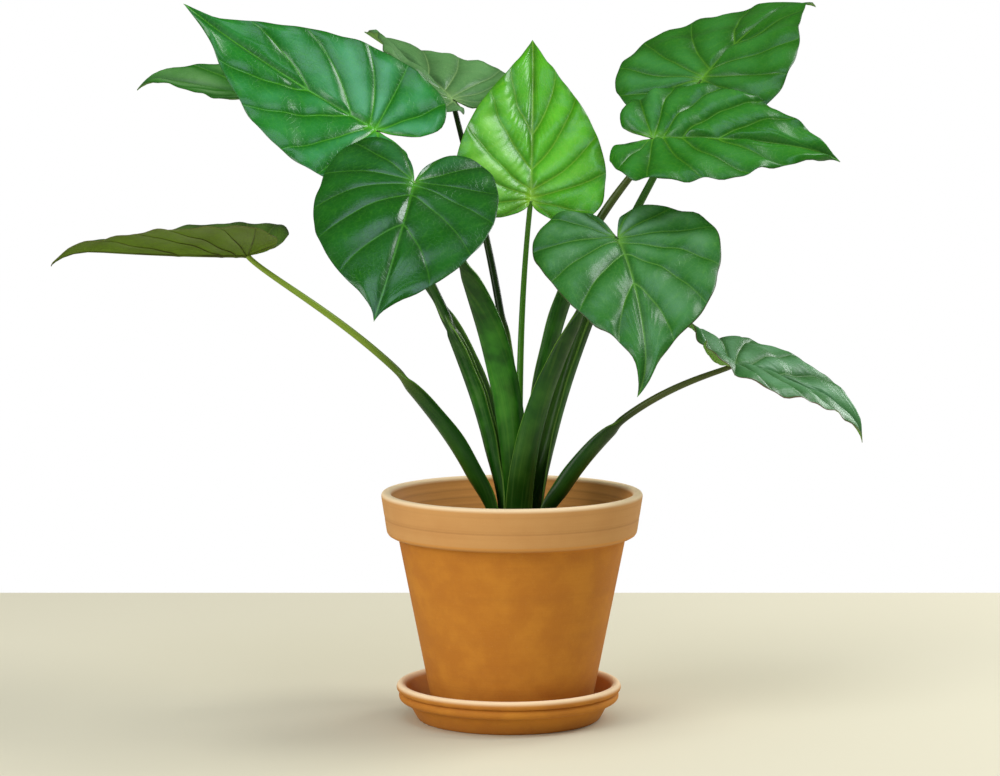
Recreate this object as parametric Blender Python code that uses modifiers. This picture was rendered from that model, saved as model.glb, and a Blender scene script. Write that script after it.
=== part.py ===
"""Potted alocasia: ten heart-shaped leaves on sheathed stems, in a clay pot that stands on a clay saucer.

Metres, +Z up. The origin is on the pot's axis, on the surface that the saucer stands on.
The leaf fan spreads along X. The side with the open faces of the leaves looks along -Y.
"""

import math

import bmesh
import bpy
import numpy as np
from mathutils import Matrix

COLLECTION_NAME = "potted_alocasia"
GAP = 0.0003  # between pieces that rest on or stand in each other
TURN_STEPS = 40  # facets around each turned piece

# Saucer
SAUCER_SHIFT = -0.0025  # the saucer's centre along X: the pot stands a little off it
SAUCER_MARGIN = 0.009  # how much wider the saucer's foot is than the pot's
SAUCER_FLARE = 0.018  # how much wider the lip is than the foot
SAUCER_HEIGHT = 0.0295
SAUCER_FLOOR = 0.0077
SAUCER_WALL = 0.0075
SAUCER_GROOVE_DEPTH = 0.0016

# Pot
POT_BASE_R = 0.0635
POT_NECK_R = 0.0915  # the body's top, under the rim band
POT_RIM_R = 0.105
POT_HEIGHT = 0.176
POT_BAND_HEIGHT = 0.035
POT_BAND_TAPER = 0.0045  # how much narrower the band is at its lower edge
POT_WALL = 0.008
POT_FLOOR = 0.009
POT_DRAIN_R = 0.011
POT_LIP_ROUND = 0.003

# Soil and crown
SOIL_BELOW_RIM = 0.035
SOIL_CLEARANCE = 0.0004
SOIL_MOUND = 0.003  # the soil's rise towards the crown
CROWN_X = 0.005
CROWN_R = 0.0225
CROWN_DEPTH = 0.028  # how far the crown goes down into the soil
CROWN_PROUD = 0.002  # how far it stands out of the soil

# Leaves and stems
PLANT_SCALE = 1.0  # size of everything that grows out of the crown
BLADE_THICKNESS = 0.0008
BLADE_STATIONS = 13  # points along each half's margin
BLADE_RINGS = 3  # rows between the midrib and the margin
MARGIN_WAVES = 1.6  # waves along one margin
STEM_SIDES = 10
SHEATH_STATIONS = 9
STALK_STATIONS = 7
SHEATH_HALF_THICKNESS = 0.0020
SHEATH_RINGS = {"core": 0.0003, "inner": 0.0074, "middle": 0.0126, "outer": 0.0180}  # radius about the crown

# Each leaf: where its stem meets the blade, measured from the crown's centre at soil level, how the blade is
# turned (heading from +X, pitch of the tip, roll), its own sizes, and how it bends. Angles are in degrees, and
# pairs are the left and the right half, seen from the joint towards the tip.
LEAVES = {
    "low_left": {
        "joint": (-0.215, -0.010, 0.226), "heading": 173, "pitch": -1, "roll": 2,
        "length": 0.164, "width": 0.123, "lobe": 0.030, "lobe_spread": 0.475, "belly": 0.05,
        "fullness": 1.10, "tip_share": 0.15, "lopsided": -0.04,
        "fold": (27, 29), "curl": (-6, -12), "droop": -5, "tip_droop": 48, "lobe_lift": 7,
        "twist": 3, "wave": 0.001, "phase": 0.42,
    },
    "upper_left": {
        "joint": (-0.113, 0.014, 0.324), "heading": 163, "pitch": 27, "roll": -39,
        "length": 0.189, "width": 0.137, "lobe": 0.046, "lobe_spread": 0.45, "belly": 0.125,
        "fullness": 0.83, "tip_share": 0.155, "lopsided": 0.05,
        "fold": (10, 15), "curl": (-13, -5), "droop": -12, "tip_droop": -7, "lobe_lift": 18,
        "twist": -9, "wave": 0.001, "phase": 0.65,
    },
    "back_left": {
        "joint": (-0.177, 0.075, 0.342), "heading": 158, "pitch": 9, "roll": -16,
        "length": 0.155, "width": 0.122, "lobe": 0.036, "lobe_spread": 0.42, "belly": 0.01,
        "fullness": 0.84, "tip_share": 0.11, "lopsided": -0.07,
        "fold": (14, 27), "curl": (4, -34), "droop": 0, "tip_droop": 48, "lobe_lift": -7,
        "twist": -6, "wave": 0.003, "phase": 0.0,
    },
    "back_center": {
        "joint": (-0.053, 0.102, 0.346), "heading": 131, "pitch": 31, "roll": 3,
        "length": 0.127, "width": 0.142, "lobe": 0.039, "lobe_spread": 0.44, "belly": 0.06,
        "fullness": 1.00, "tip_share": 0.12, "lopsided": 0.02,
        "fold": (10, 22), "curl": (14, -5), "droop": 12, "tip_droop": -3, "lobe_lift": 20,
        "twist": 24, "wave": 0.002, "phase": 0.17,
    },
    "front_left": {
        "joint": (-0.081, -0.068, 0.287), "heading": -100, "pitch": -36, "roll": -27,
        "length": 0.143, "width": 0.146, "lobe": 0.043, "lobe_spread": 0.48, "belly": 0.18,
        "fullness": 1.13, "tip_share": 0.14, "lopsided": -0.06,
        "fold": (9, -9), "curl": (9, -35), "droop": 20, "tip_droop": 1, "lobe_lift": 5,
        "twist": 9, "wave": 0.001, "phase": -0.06,
    },
    "center_new": {
        "joint": (0.010, 0.010, 0.268), "heading": 87, "pitch": 60, "roll": 8,
        "length": 0.162, "width": 0.126, "lobe": 0.021, "lobe_spread": 0.51, "belly": 0.10,
        "fullness": 0.91, "tip_share": 0.15, "lopsided": 0.03,
        "fold": (17, 9), "curl": (-2, 11), "droop": 11, "tip_droop": 24, "lobe_lift": -2,
        "twist": -1, "wave": 0.0, "phase": 0.0,
    },
    "back_right": {
        "joint": (0.149, 0.070, 0.363), "heading": 43, "pitch": 40, "roll": -1,
        "length": 0.153, "width": 0.154, "lobe": 0.057, "lobe_spread": 0.41, "belly": 0.07,
        "fullness": 0.98, "tip_share": 0.11, "lopsided": 0.01,
        "fold": (18, -1), "curl": (-3, -25), "droop": 27, "tip_droop": 31, "lobe_lift": 7,
        "twist": -15, "wave": 0.0, "phase": 0.0,
    },
    "upper_right": {
        "joint": (0.107, 0.000, 0.318), "heading": -16, "pitch": 3, "roll": 43,
        "length": 0.152, "width": 0.130, "lobe": 0.031, "lobe_spread": 0.41, "belly": 0.14,
        "fullness": 0.98, "tip_share": 0.12, "lopsided": 0.0,
        "fold": (9, 17), "curl": (-29, -6), "droop": 22, "tip_droop": 24, "lobe_lift": 6,
        "twist": 7, "wave": 0.002, "phase": 0.84,
    },
    "front_right": {
        "joint": (0.077, -0.058, 0.243), "heading": -74, "pitch": -30, "roll": -15,
        "length": 0.160, "width": 0.149, "lobe": 0.037, "lobe_spread": 0.40, "belly": 0.115,
        "fullness": 0.85, "tip_share": 0.19, "lopsided": 0.05,
        "fold": (22, -12), "curl": (4, -24), "droop": 31, "tip_droop": 60, "lobe_lift": 4,
        "twist": 3, "wave": 0.0, "phase": 0.0,
    },
    "low_right": {
        "joint": (0.169, -0.020, 0.139), "heading": 5, "pitch": -11, "roll": 11,
        "length": 0.131, "width": 0.135, "lobe": 0.043, "lobe_spread": 0.53, "belly": 0.08,
        "fullness": 1.12, "tip_share": 0.13, "lopsided": -0.03,
        "fold": (21, 18), "curl": (-40, -21), "droop": 34, "tip_droop": 28, "lobe_lift": 45,
        "twist": 14, "wave": 0.002, "phase": 0.07,
    },
}

# Each stem: the sheath ring it stands in and its bearing there, how it sets off (elevation and heading), the
# lengths of its two Bezier handles as shares of the straight distance, and how far it leans to the blade's
# normal at the top (tilt, rise). Its sheath has a half-width, measured round its curve, at the base, half-way
# and at its end, the radius of its open channel, and the share of the stem that it covers. The stalk has a
# radius above the sheath and at the blade.
STEMS = {
    "low_left": {
        "ring": "outer", "bearing": 188, "elevation": 79, "heading": 180, "handles": (0.44, 0.11),
        "tilt": 0.14, "rise": -0.11, "base_w": 0.0118, "mid_w": 0.0165, "sheath_w": 0.0080,
        "channel_r": 0.0085, "sheath_end": 0.42, "stalk_r": 0.0030, "top_r": 0.0021,
    },
    "upper_left": {
        "ring": "middle", "bearing": 173, "elevation": 88, "heading": 165, "handles": (0.45, 0.42),
        "tilt": 0.33, "rise": 0.00, "base_w": 0.008, "mid_w": 0.0160, "sheath_w": 0.0085,
        "channel_r": 0.0085, "sheath_end": 0.52, "stalk_r": 0.0034, "top_r": 0.0023,
    },
    "back_left": {
        "ring": "outer", "bearing": 118, "elevation": 82, "heading": 104, "handles": (0.47, 0.31),
        "tilt": 0.10, "rise": -0.13, "base_w": 0.0090, "mid_w": 0.0105, "sheath_w": 0.0065,
        "channel_r": 0.0060, "sheath_end": 0.45, "stalk_r": 0.0031, "top_r": 0.0021,
    },
    "back_center": {
        "ring": "inner", "bearing": 110, "elevation": 78, "heading": 80, "handles": (0.43, 0.23),
        "tilt": -0.10, "rise": -0.14, "base_w": 0.0062, "mid_w": 0.0075, "sheath_w": 0.0050,
        "channel_r": 0.0052, "sheath_end": 0.42, "stalk_r": 0.0031, "top_r": 0.0022,
    },
    "front_left": {
        "ring": "middle", "bearing": -87, "elevation": 89, "heading": 172, "handles": (0.70, 0.08),
        "tilt": 0.30, "rise": 0.00, "base_w": 0.0098, "mid_w": 0.0145, "sheath_w": 0.0046,
        "channel_r": 0.0120, "sheath_end": 0.53, "stalk_r": 0.0036, "top_r": 0.0024,
    },
    "center_new": {
        "ring": "core", "bearing": 60, "elevation": 89, "heading": 50, "handles": (0.34, 0.42),
        "tilt": 0.50, "rise": -0.40, "base_w": 0.0028, "mid_w": 0.0028, "sheath_w": 0.0028,
        "channel_r": 0.0050, "sheath_end": 0.30, "stalk_r": 0.0028, "top_r": 0.0021,
    },
    "back_right": {
        "ring": "outer", "bearing": 46, "elevation": 85, "heading": 25, "handles": (0.43, 0.22),
        "tilt": -0.06, "rise": 0.01, "base_w": 0.0090, "mid_w": 0.0135, "sheath_w": 0.0080,
        "channel_r": 0.0082, "sheath_end": 0.48, "stalk_r": 0.0034, "top_r": 0.0023,
    },
    "upper_right": {
        "ring": "inner", "bearing": -15, "elevation": 89, "heading": 1, "handles": (0.74, 0.12),
        "tilt": 0.12, "rise": 0.00, "base_w": 0.0075, "mid_w": 0.0155, "sheath_w": 0.0085,
        "channel_r": 0.0085, "sheath_end": 0.55, "stalk_r": 0.0034, "top_r": 0.0023,
    },
    "front_right": {
        "ring": "outer", "bearing": -90, "elevation": 82, "heading": -93, "handles": (0.46, 0.25),
        "tilt": 0.33, "rise": -0.10, "base_w": 0.0112, "mid_w": 0.0104, "sheath_w": 0.0048,
        "channel_r": 0.0130, "sheath_end": 0.68, "stalk_r": 0.0036, "top_r": 0.0024,
    },
    "low_right": {
        "ring": "outer", "bearing": -18, "elevation": 70, "heading": 12, "handles": (0.56, 0.08),
        "tilt": -0.02, "rise": -0.25, "base_w": 0.0105, "mid_w": 0.0145, "sheath_w": 0.0065,
        "channel_r": 0.0075, "sheath_end": 0.40, "stalk_r": 0.0030, "top_r": 0.0021,
    },
}

# Colours: RGB in linear light, roughness
TERRACOTTA = ((0.56, 0.20, 0.10), 0.85)
SAUCER_CLAY = ((0.58, 0.22, 0.12), 0.85)
POTTING_SOIL = ((0.045, 0.028, 0.018), 0.95)
CROWN_BROWN = ((0.13, 0.10, 0.04), 0.80)
LEAF_GREENS = {
    "low_left": (0.16, 0.22, 0.03),
    "upper_left": (0.04, 0.20, 0.05),
    "back_left": (0.10, 0.20, 0.08),
    "back_center": (0.06, 0.16, 0.05),
    "front_left": (0.03, 0.13, 0.03),
    "center_new": (0.09, 0.40, 0.02),
    "back_right": (0.06, 0.20, 0.04),
    "upper_right": (0.05, 0.24, 0.03),
    "front_right": (0.05, 0.18, 0.05),
    "low_right": (0.14, 0.27, 0.13),
}
STEM_GREENS = {
    "low_left": (0.20, 0.30, 0.06),
    "upper_left": (0.03, 0.11, 0.02),
    "back_left": (0.03, 0.11, 0.02),
    "back_center": (0.03, 0.08, 0.02),
    "front_left": (0.03, 0.14, 0.02),
    "center_new": (0.08, 0.36, 0.03),
    "back_right": (0.03, 0.13, 0.02),
    "upper_right": (0.04, 0.15, 0.02),
    "front_right": (0.03, 0.14, 0.02),
    "low_right": (0.07, 0.09, 0.02),
}
LEAF_ROUGHNESS = 0.42

SAUCER_BASE_R = POT_BASE_R + SAUCER_MARGIN
SAUCER_LIP_R = SAUCER_BASE_R + SAUCER_FLARE
POT_BOTTOM = SAUCER_FLOOR + GAP
POT_TOP = POT_BOTTOM + POT_HEIGHT
SOIL_TOP = POT_TOP - SOIL_BELOW_RIM
CROWN_TOP = SOIL_TOP + CROWN_PROUD


def clear_scene():
    for obj in list(bpy.data.objects):
        bpy.data.objects.remove(obj)


def make_collection():
    collection = bpy.data.collections.new(COLLECTION_NAME)
    bpy.context.scene.collection.children.link(collection)
    return collection


def material(name, colour, roughness):
    made = bpy.data.materials.new(name)
    made.use_nodes = True
    shader = made.node_tree.nodes["Principled BSDF"]
    shader.inputs["Base Color"].default_value = (*colour, 1.0)
    shader.inputs["Roughness"].default_value = roughness
    shader.inputs["Metallic"].default_value = 0.0
    made.diffuse_color = (*colour, 1.0)
    return made


def add_object(collection, name, mesh, made_material):
    obj = bpy.data.objects.new(name, mesh)
    collection.objects.link(obj)
    mesh.materials.append(made_material)
    return obj


def turned(collection, name, profile, made_material, centre=(0.0, 0.0)):
    """A body of revolution from a profile of (radius, height) points that runs down its outer side.

    The profile closes on itself unless it starts and ends on the axis.
    """
    mesh = bpy.data.meshes.new(name)
    on_axis = profile[0][0] == 0.0 and profile[-1][0] == 0.0
    edges = [(i, i + 1) for i in range(len(profile) - 1)]
    if not on_axis:
        edges.append((len(profile) - 1, 0))
    mesh.from_pydata([(radius, 0.0, height) for radius, height in profile], edges, [])
    obj = add_object(collection, name, mesh, made_material)
    obj.location = (centre[0], centre[1], 0.0)
    screw = obj.modifiers.new("turn", "SCREW")
    screw.axis = "Z"
    screw.steps = TURN_STEPS
    screw.render_steps = TURN_STEPS
    screw.use_merge_vertices = True
    screw.merge_threshold = 0.00001
    screw.use_smooth_shade = True
    return obj


def arc(centre, radius, start, end, count):
    """Points on a circle in the profile's plane, with angles in degrees from the outward direction."""
    angles = [math.radians(start + (end - start) * i / (count - 1)) for i in range(count)]
    return [(centre[0] + radius * math.cos(a), centre[1] + radius * math.sin(a)) for a in angles]


def make_saucer(collection):
    """A shallow dish with a rolled lip, a groove under it and a tapering wall."""
    bead = SAUCER_WALL / 2
    lip_bottom = SAUCER_HEIGHT - SAUCER_WALL
    step_bottom = SAUCER_HEIGHT * 0.5
    under_lip_r = SAUCER_LIP_R - SAUCER_GROOVE_DEPTH - bead / 2
    inner_r = SAUCER_LIP_R - SAUCER_WALL
    inner_base_r = SAUCER_BASE_R - 0.001
    profile = [(0.0, SAUCER_FLOOR), (inner_base_r - 0.004, SAUCER_FLOOR), (inner_base_r, SAUCER_FLOOR + 0.002)]
    profile.append((inner_r - 0.001, SAUCER_HEIGHT - bead))
    profile += arc((SAUCER_LIP_R - bead, SAUCER_HEIGHT - bead), bead, 150, -60, 6)
    profile.append((under_lip_r, lip_bottom))
    profile += [(under_lip_r - 0.001, step_bottom + 0.003), (under_lip_r - 0.004, step_bottom)]
    profile += [(SAUCER_BASE_R + 0.002, 0.002), (SAUCER_BASE_R, 0.0), (0.0, 0.0)]
    return turned(collection, "saucer", profile, material("saucer_clay", *SAUCER_CLAY), (SAUCER_SHIFT, 0.0))


def body_radius(height):
    """The pot's outer radius below the band, at a height above its base."""
    body_height = POT_HEIGHT - POT_BAND_HEIGHT
    return POT_BASE_R + (POT_NECK_R - POT_BASE_R) * height / body_height


def inner_radius(height):
    """The pot's inner radius at a height above its base."""
    return body_radius(height) - POT_WALL


def make_pot(collection):
    """A thrown clay pot: tapering body, wide rim band with a rounded lip, and a drain hole in the floor."""
    band_bottom = POT_HEIGHT - POT_BAND_HEIGHT
    band_low_r = POT_RIM_R - POT_BAND_TAPER
    lip_r = POT_LIP_ROUND
    heights = [
        (POT_DRAIN_R, POT_FLOOR),
        (inner_radius(POT_FLOOR) - 0.003, POT_FLOOR),
        (inner_radius(POT_FLOOR + 0.003), POT_FLOOR + 0.003),
        (inner_radius(band_bottom), band_bottom),
        (POT_RIM_R - POT_WALL, POT_HEIGHT - lip_r),
    ]
    heights += arc((POT_RIM_R - POT_WALL + lip_r, POT_HEIGHT - lip_r), lip_r, 150, 90, 3)
    heights += arc((POT_RIM_R - lip_r, POT_HEIGHT - lip_r), lip_r, 90, 0, 4)
    heights += [(band_low_r, band_bottom + 0.003), (band_low_r - 0.003, band_bottom)]
    heights += [(POT_NECK_R, band_bottom - 0.001), (POT_BASE_R + 0.0005, 0.002), (POT_BASE_R - 0.0015, 0.0)]
    heights.append((POT_DRAIN_R, 0.0))
    profile = [(radius, POT_BOTTOM + height) for radius, height in heights]
    return turned(collection, "pot", profile, material("terracotta", *TERRACOTTA))


def make_soil(collection):
    """The root ball and potting soil, one body that fills the pot, with a well that holds the crown."""
    top = SOIL_TOP - POT_BOTTOM
    bottom = POT_FLOOR + GAP
    reach = CROWN_X + (CROWN_R + GAP) * PLANT_SCALE + 0.004
    edge = inner_radius(top) - SOIL_CLEARANCE
    outline = [
        (0.0, top + SOIL_MOUND),
        (reach, top + SOIL_MOUND),
        ((reach + edge) / 2, top + SOIL_MOUND * 0.3),
        (edge - 0.002, top - 0.001),
        (edge - 0.0006, top - 0.003),
        (inner_radius(bottom + 0.004) - SOIL_CLEARANCE, bottom + 0.004),
        (inner_radius(bottom) - 0.0045, bottom),
        (0.0, bottom),
    ]
    profile = [(radius, POT_BOTTOM + height) for radius, height in outline]
    soil = turned(collection, "soil", profile, material("potting_soil", *POTTING_SOIL))
    cutter = crown_body("crown_well_cutter", GAP, 0.02)
    cutter.hide_render = True
    cutter.display_type = "WIRE"
    cut = soil.modifiers.new("crown well", "BOOLEAN")
    cut.operation = "DIFFERENCE"
    cut.solver = "EXACT"
    cut.object = cutter
    return soil


def crown_body(name, clearance, extra_height):
    """The crown's plug shape, grown by a clearance, in the cutter collection or as the crown itself."""
    collection = bpy.data.collections.get(COLLECTION_NAME)
    if clearance:
        collection = bpy.data.collections.get("cutters") or bpy.data.collections.new("cutters")
        if collection.name not in bpy.context.scene.collection.children:
            bpy.context.scene.collection.children.link(collection)
    radius = CROWN_R * PLANT_SCALE + clearance
    low = SOIL_TOP - CROWN_DEPTH - clearance
    high = CROWN_TOP + extra_height
    shoulder = 0.002
    waist = SOIL_TOP - CROWN_DEPTH / 2
    profile = [(0.0, high), (radius - shoulder, high), (radius, high - shoulder)]
    profile += [(radius, waist), (radius * 0.8, low), (0.0, low)]
    return turned(collection, name, profile, material(name, *CROWN_BROWN), (CROWN_X, 0.0))


def smooth_curve(points, count):
    """Evenly stepped points on a smooth curve through the given ones (centripetal spacing, no overshoot)."""
    points = np.asarray(points, float)
    steps = np.linalg.norm(np.diff(points, axis=0), axis=1) ** 0.5
    knots = np.concatenate([[0.0], np.cumsum(steps)])
    slopes = np.empty_like(points)
    before = (points[1:-1] - points[:-2]) / steps[:-1, None]
    after = (points[2:] - points[1:-1]) / steps[1:, None]
    slopes[1:-1] = (after * steps[:-1, None] + before * steps[1:, None]) / (steps[1:] + steps[:-1])[:, None]
    slopes[0] = (points[1] - points[0]) / steps[0]
    slopes[-1] = (points[-1] - points[-2]) / steps[-1]
    where = np.linspace(0.0, knots[-1], count)
    piece = np.clip(np.searchsorted(knots, where, side="right") - 1, 0, len(points) - 2)
    width = steps[piece][:, None]
    share = ((where - knots[piece])[:, None]) / width
    return (
        (2 * share**3 - 3 * share**2 + 1) * points[piece]
        + (share**3 - 2 * share**2 + share) * width * slopes[piece]
        + (3 * share**2 - 2 * share**3) * points[piece + 1]
        + (share**3 - share**2) * width * slopes[piece + 1]
    )


def half_margin(leaf, count):
    """The margin of one half, flat: from the joint round the basal lobe to the drawn-out tip."""
    length = leaf["length"]
    half = leaf["width"] / 2
    lobe = leaf["lobe"]
    spread = leaf["lobe_spread"]
    belly = leaf["belly"]
    full = leaf["fullness"]
    tip = leaf["tip_share"]
    outline = [
        (0.0, 0.0),
        (-0.35 * lobe, 0.05 * half),
        (-0.82 * lobe, (spread - 0.25) * half),
        (-1.00 * lobe, spread * half),
        (-0.80 * lobe, (spread + 0.30) * half),
        (-0.25 * lobe, 0.95 * half),
        (belly * length, half),
        ((belly + 0.27) * length, (0.80 + 0.06 * full) * half),
        ((belly + 0.50) * length, (0.40 + 0.16 * full) * half),
        ((1.0 - tip) * length, 0.17 * full * half),
        ((1.0 - 0.45 * tip) * length, 0.055 * half),
        (length, 0.0),
    ]
    return smooth_curve(outline, count)


def bent(leaf, x, y):
    """Flat blade points, x along the midrib and y to the left, bent into the leaf's own axes."""
    length = leaf["length"]
    half = leaf["width"] / 2
    left = y >= 0
    y = y * np.where(left, 1 + leaf["lopsided"], 1 - leaf["lopsided"])
    fold = np.radians(np.where(left, leaf["fold"][0], leaf["fold"][1]))
    curl = np.radians(np.where(left, leaf["curl"][0], leaf["curl"][1]))
    out = np.abs(y) / half
    across = half / curl * (np.sin(fold + curl * out) - np.sin(fold)) * np.where(left, 1, -1)
    rise = half / curl * (np.cos(fold) - np.cos(fold + curl * out))
    ripple = np.sin(2 * np.pi * (MARGIN_WAVES * x / length + leaf["phase"] + np.where(left, 0.0, 0.31)))
    rise = rise + leaf["wave"] * np.minimum(out, 1.1) ** 2 * ripple
    turn = np.radians(leaf["twist"]) * x / length
    across, rise = across * np.cos(turn) - rise * np.sin(turn), across * np.sin(turn) + rise * np.cos(turn)
    share = np.linspace(-0.5, 1.0, 301)
    slope = -np.radians(leaf["droop"]) * np.clip(share, 0, 1)
    slope = slope - np.radians(leaf["tip_droop"]) * np.clip((share - 0.72) / 0.28, 0, 1) ** 1.5
    slope = np.where(share < 0, -np.radians(leaf["lobe_lift"]) * np.clip(-share / 0.3, 0, 1.2), slope)
    step = share[1] - share[0]
    along = np.concatenate([[0.0], np.cumsum((np.cos(slope[1:]) + np.cos(slope[:-1])) / 2 * step)])
    up = np.concatenate([[0.0], np.cumsum((np.sin(slope[1:]) + np.sin(slope[:-1])) / 2 * step)])
    rib_x = (np.interp(x / length, share, along) - np.interp(0.0, share, along)) * length
    rib_z = (np.interp(x / length, share, up) - np.interp(0.0, share, up)) * length
    lean = np.interp(x / length, share, slope)
    return np.stack([rib_x - rise * np.sin(lean), across, rib_z + rise * np.cos(lean)], axis=-1)


def leaf_axes(leaf):
    """Rows: the midrib's direction at the joint, the blade's left, and its upper side's normal."""
    heading = math.radians(leaf["heading"])
    pitch = math.radians(leaf["pitch"])
    roll = math.radians(leaf["roll"])
    flat = np.array([math.cos(heading), math.sin(heading), 0.0])
    rib = flat * math.cos(pitch) + np.array([0.0, 0.0, math.sin(pitch)])
    level_left = np.array([-math.sin(heading), math.cos(heading), 0.0])
    level_normal = np.cross(rib, level_left)
    left = level_left * math.cos(roll) + level_normal * math.sin(roll)
    return np.stack([rib, left, np.cross(rib, left)])


def crown_origin():
    return np.array([CROWN_X, 0.0, SOIL_TOP])


def joint_point(leaf):
    """Where the stem meets the blade, in world coordinates."""
    return crown_origin() + np.array(leaf["joint"]) * PLANT_SCALE


def make_leaf(collection, name, leaf):
    """A blade: both halves as rays from the midrib to the margin, given its thickness by Solidify."""
    mesh = bpy.data.meshes.new(f"leaf_{name}")
    built = bmesh.new()
    margin = half_margin(leaf, BLADE_STATIONS + 1)[1:]
    roots = np.stack([np.clip(margin[:, 0], 0, None) * 0.92, np.zeros(len(margin))], axis=-1)
    shares = np.linspace(0.0, 1.0, BLADE_RINGS + 1)
    for side in (1, -1):
        mirrored = np.array([1, side])
        flat = roots[:, None] + (margin * mirrored - roots)[:, None] * shares[None, :, None]
        across = np.where(np.abs(flat[..., 1]) < 1e-9, side * 1e-9, flat[..., 1])
        points = bent(leaf, flat[..., 0], across) * PLANT_SCALE
        grid = [[built.verts.new(point) for point in ray] for ray in points]
        for here, after in zip(grid[:-1], grid[1:]):
            for k in range(BLADE_RINGS):
                corners = (here[k], here[k + 1], after[k + 1], after[k])
                built.faces.new(corners if side < 0 else corners[::-1])
    bmesh.ops.remove_doubles(built, verts=built.verts, dist=1e-5)
    built.to_mesh(mesh)
    built.free()
    mesh.shade_smooth()
    green = material(f"leaf_{name}", LEAF_GREENS[name], LEAF_ROUGHNESS)
    obj = add_object(collection, f"leaf_{name}", mesh, green)
    axes = leaf_axes(leaf)
    obj.matrix_world = Matrix.Translation(joint_point(leaf)) @ Matrix(axes.T.tolist()).to_4x4()
    shell = obj.modifiers.new("thickness", "SOLIDIFY")
    shell.thickness = BLADE_THICKNESS
    shell.offset = 0.0
    return obj


def unit(vector):
    return vector / np.linalg.norm(vector)


def stem_curve(leaf, stem, shares):
    """Points and directions along the stem's Bezier curve, from the crown to just under the blade's joint."""
    bearing = math.radians(stem["bearing"])
    ring = SHEATH_RINGS[stem["ring"]] * PLANT_SCALE
    base = np.array([CROWN_X + ring * math.cos(bearing), ring * math.sin(bearing), CROWN_TOP + GAP])
    elevation = math.radians(stem["elevation"])
    heading = math.radians(stem["heading"])
    start = np.array([math.cos(heading), math.sin(heading), math.tan(elevation)]) * math.cos(elevation)
    joint = joint_point(leaf)
    normal = leaf_axes(leaf)[2]
    chord = unit(joint - base)
    finish = unit(chord + stem["tilt"] * normal + np.array([0.0, 0.0, stem["rise"]]))
    slant = math.sqrt(max(0.0, 1.0 - float(finish @ normal) ** 2))
    hang = math.sin(math.radians(max(0, -min(leaf["fold"]))))
    end = joint - normal * (BLADE_THICKNESS / 2 + GAP + stem["top_r"] * PLANT_SCALE * (slant + hang))
    reach = np.linalg.norm(end - base)
    controls = [base, base + start * stem["handles"][0] * reach, end - finish * stem["handles"][1] * reach, end]
    s = np.asarray(shares)[:, None]
    points = (1 - s) ** 3 * controls[0] + 3 * (1 - s) ** 2 * s * controls[1]
    points = points + 3 * (1 - s) * s**2 * controls[2] + s**3 * controls[3]
    slopes = (1 - s) ** 2 * (controls[1] - controls[0]) + 2 * (1 - s) * s * (controls[2] - controls[1])
    slopes = slopes + s**2 * (controls[3] - controls[2])
    return points, slopes / np.linalg.norm(slopes, axis=1)[:, None]


def blend(low, high, value):
    """0 below low, 1 above high, and smooth between."""
    share = np.clip((value - low) / (high - low), 0, 1)
    return share * share * (3 - 2 * share)


def stem_section(stem, share):
    """Half-width, half-thickness and curvature of the cross-section at a share of the stem's length.

    The fourth value moves the section outward, so that the open channel is centred on the stem's curve.
    """
    end = stem["sheath_end"]
    taper = blend(end, 1.0, share)
    stalk = stem["stalk_r"] * (1 - taper) + stem["top_r"] * taper
    below = min(share / end, 1.0)
    swell = stem["mid_w"] - (stem["base_w"] + stem["sheath_w"]) / 2
    sheath = stem["base_w"] * (1 - below) + stem["sheath_w"] * below + swell * 4 * below * (1 - below)
    closing = blend(end - 0.05, end + 0.015, share)
    half_width = sheath * (1 - closing) + stalk * closing
    filling = blend(end * 0.3, end, share)
    half_thickness = SHEATH_HALF_THICKNESS * (1 - filling) + stalk * filling
    if stem["ring"] == "core":
        return stalk, stalk, 0.0, 0.0
    opening = blend(0.0, 0.35, below)
    hug = (1 - opening) / SHEATH_RINGS[stem["ring"]] + opening / stem["channel_r"]
    curvature = hug * (1 - closing)
    shift = 0.0
    if curvature > 1e-6:
        shift = opening * (1 - math.cos(half_width * curvature)) / curvature / 2
    return half_width, half_thickness, curvature, shift


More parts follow.
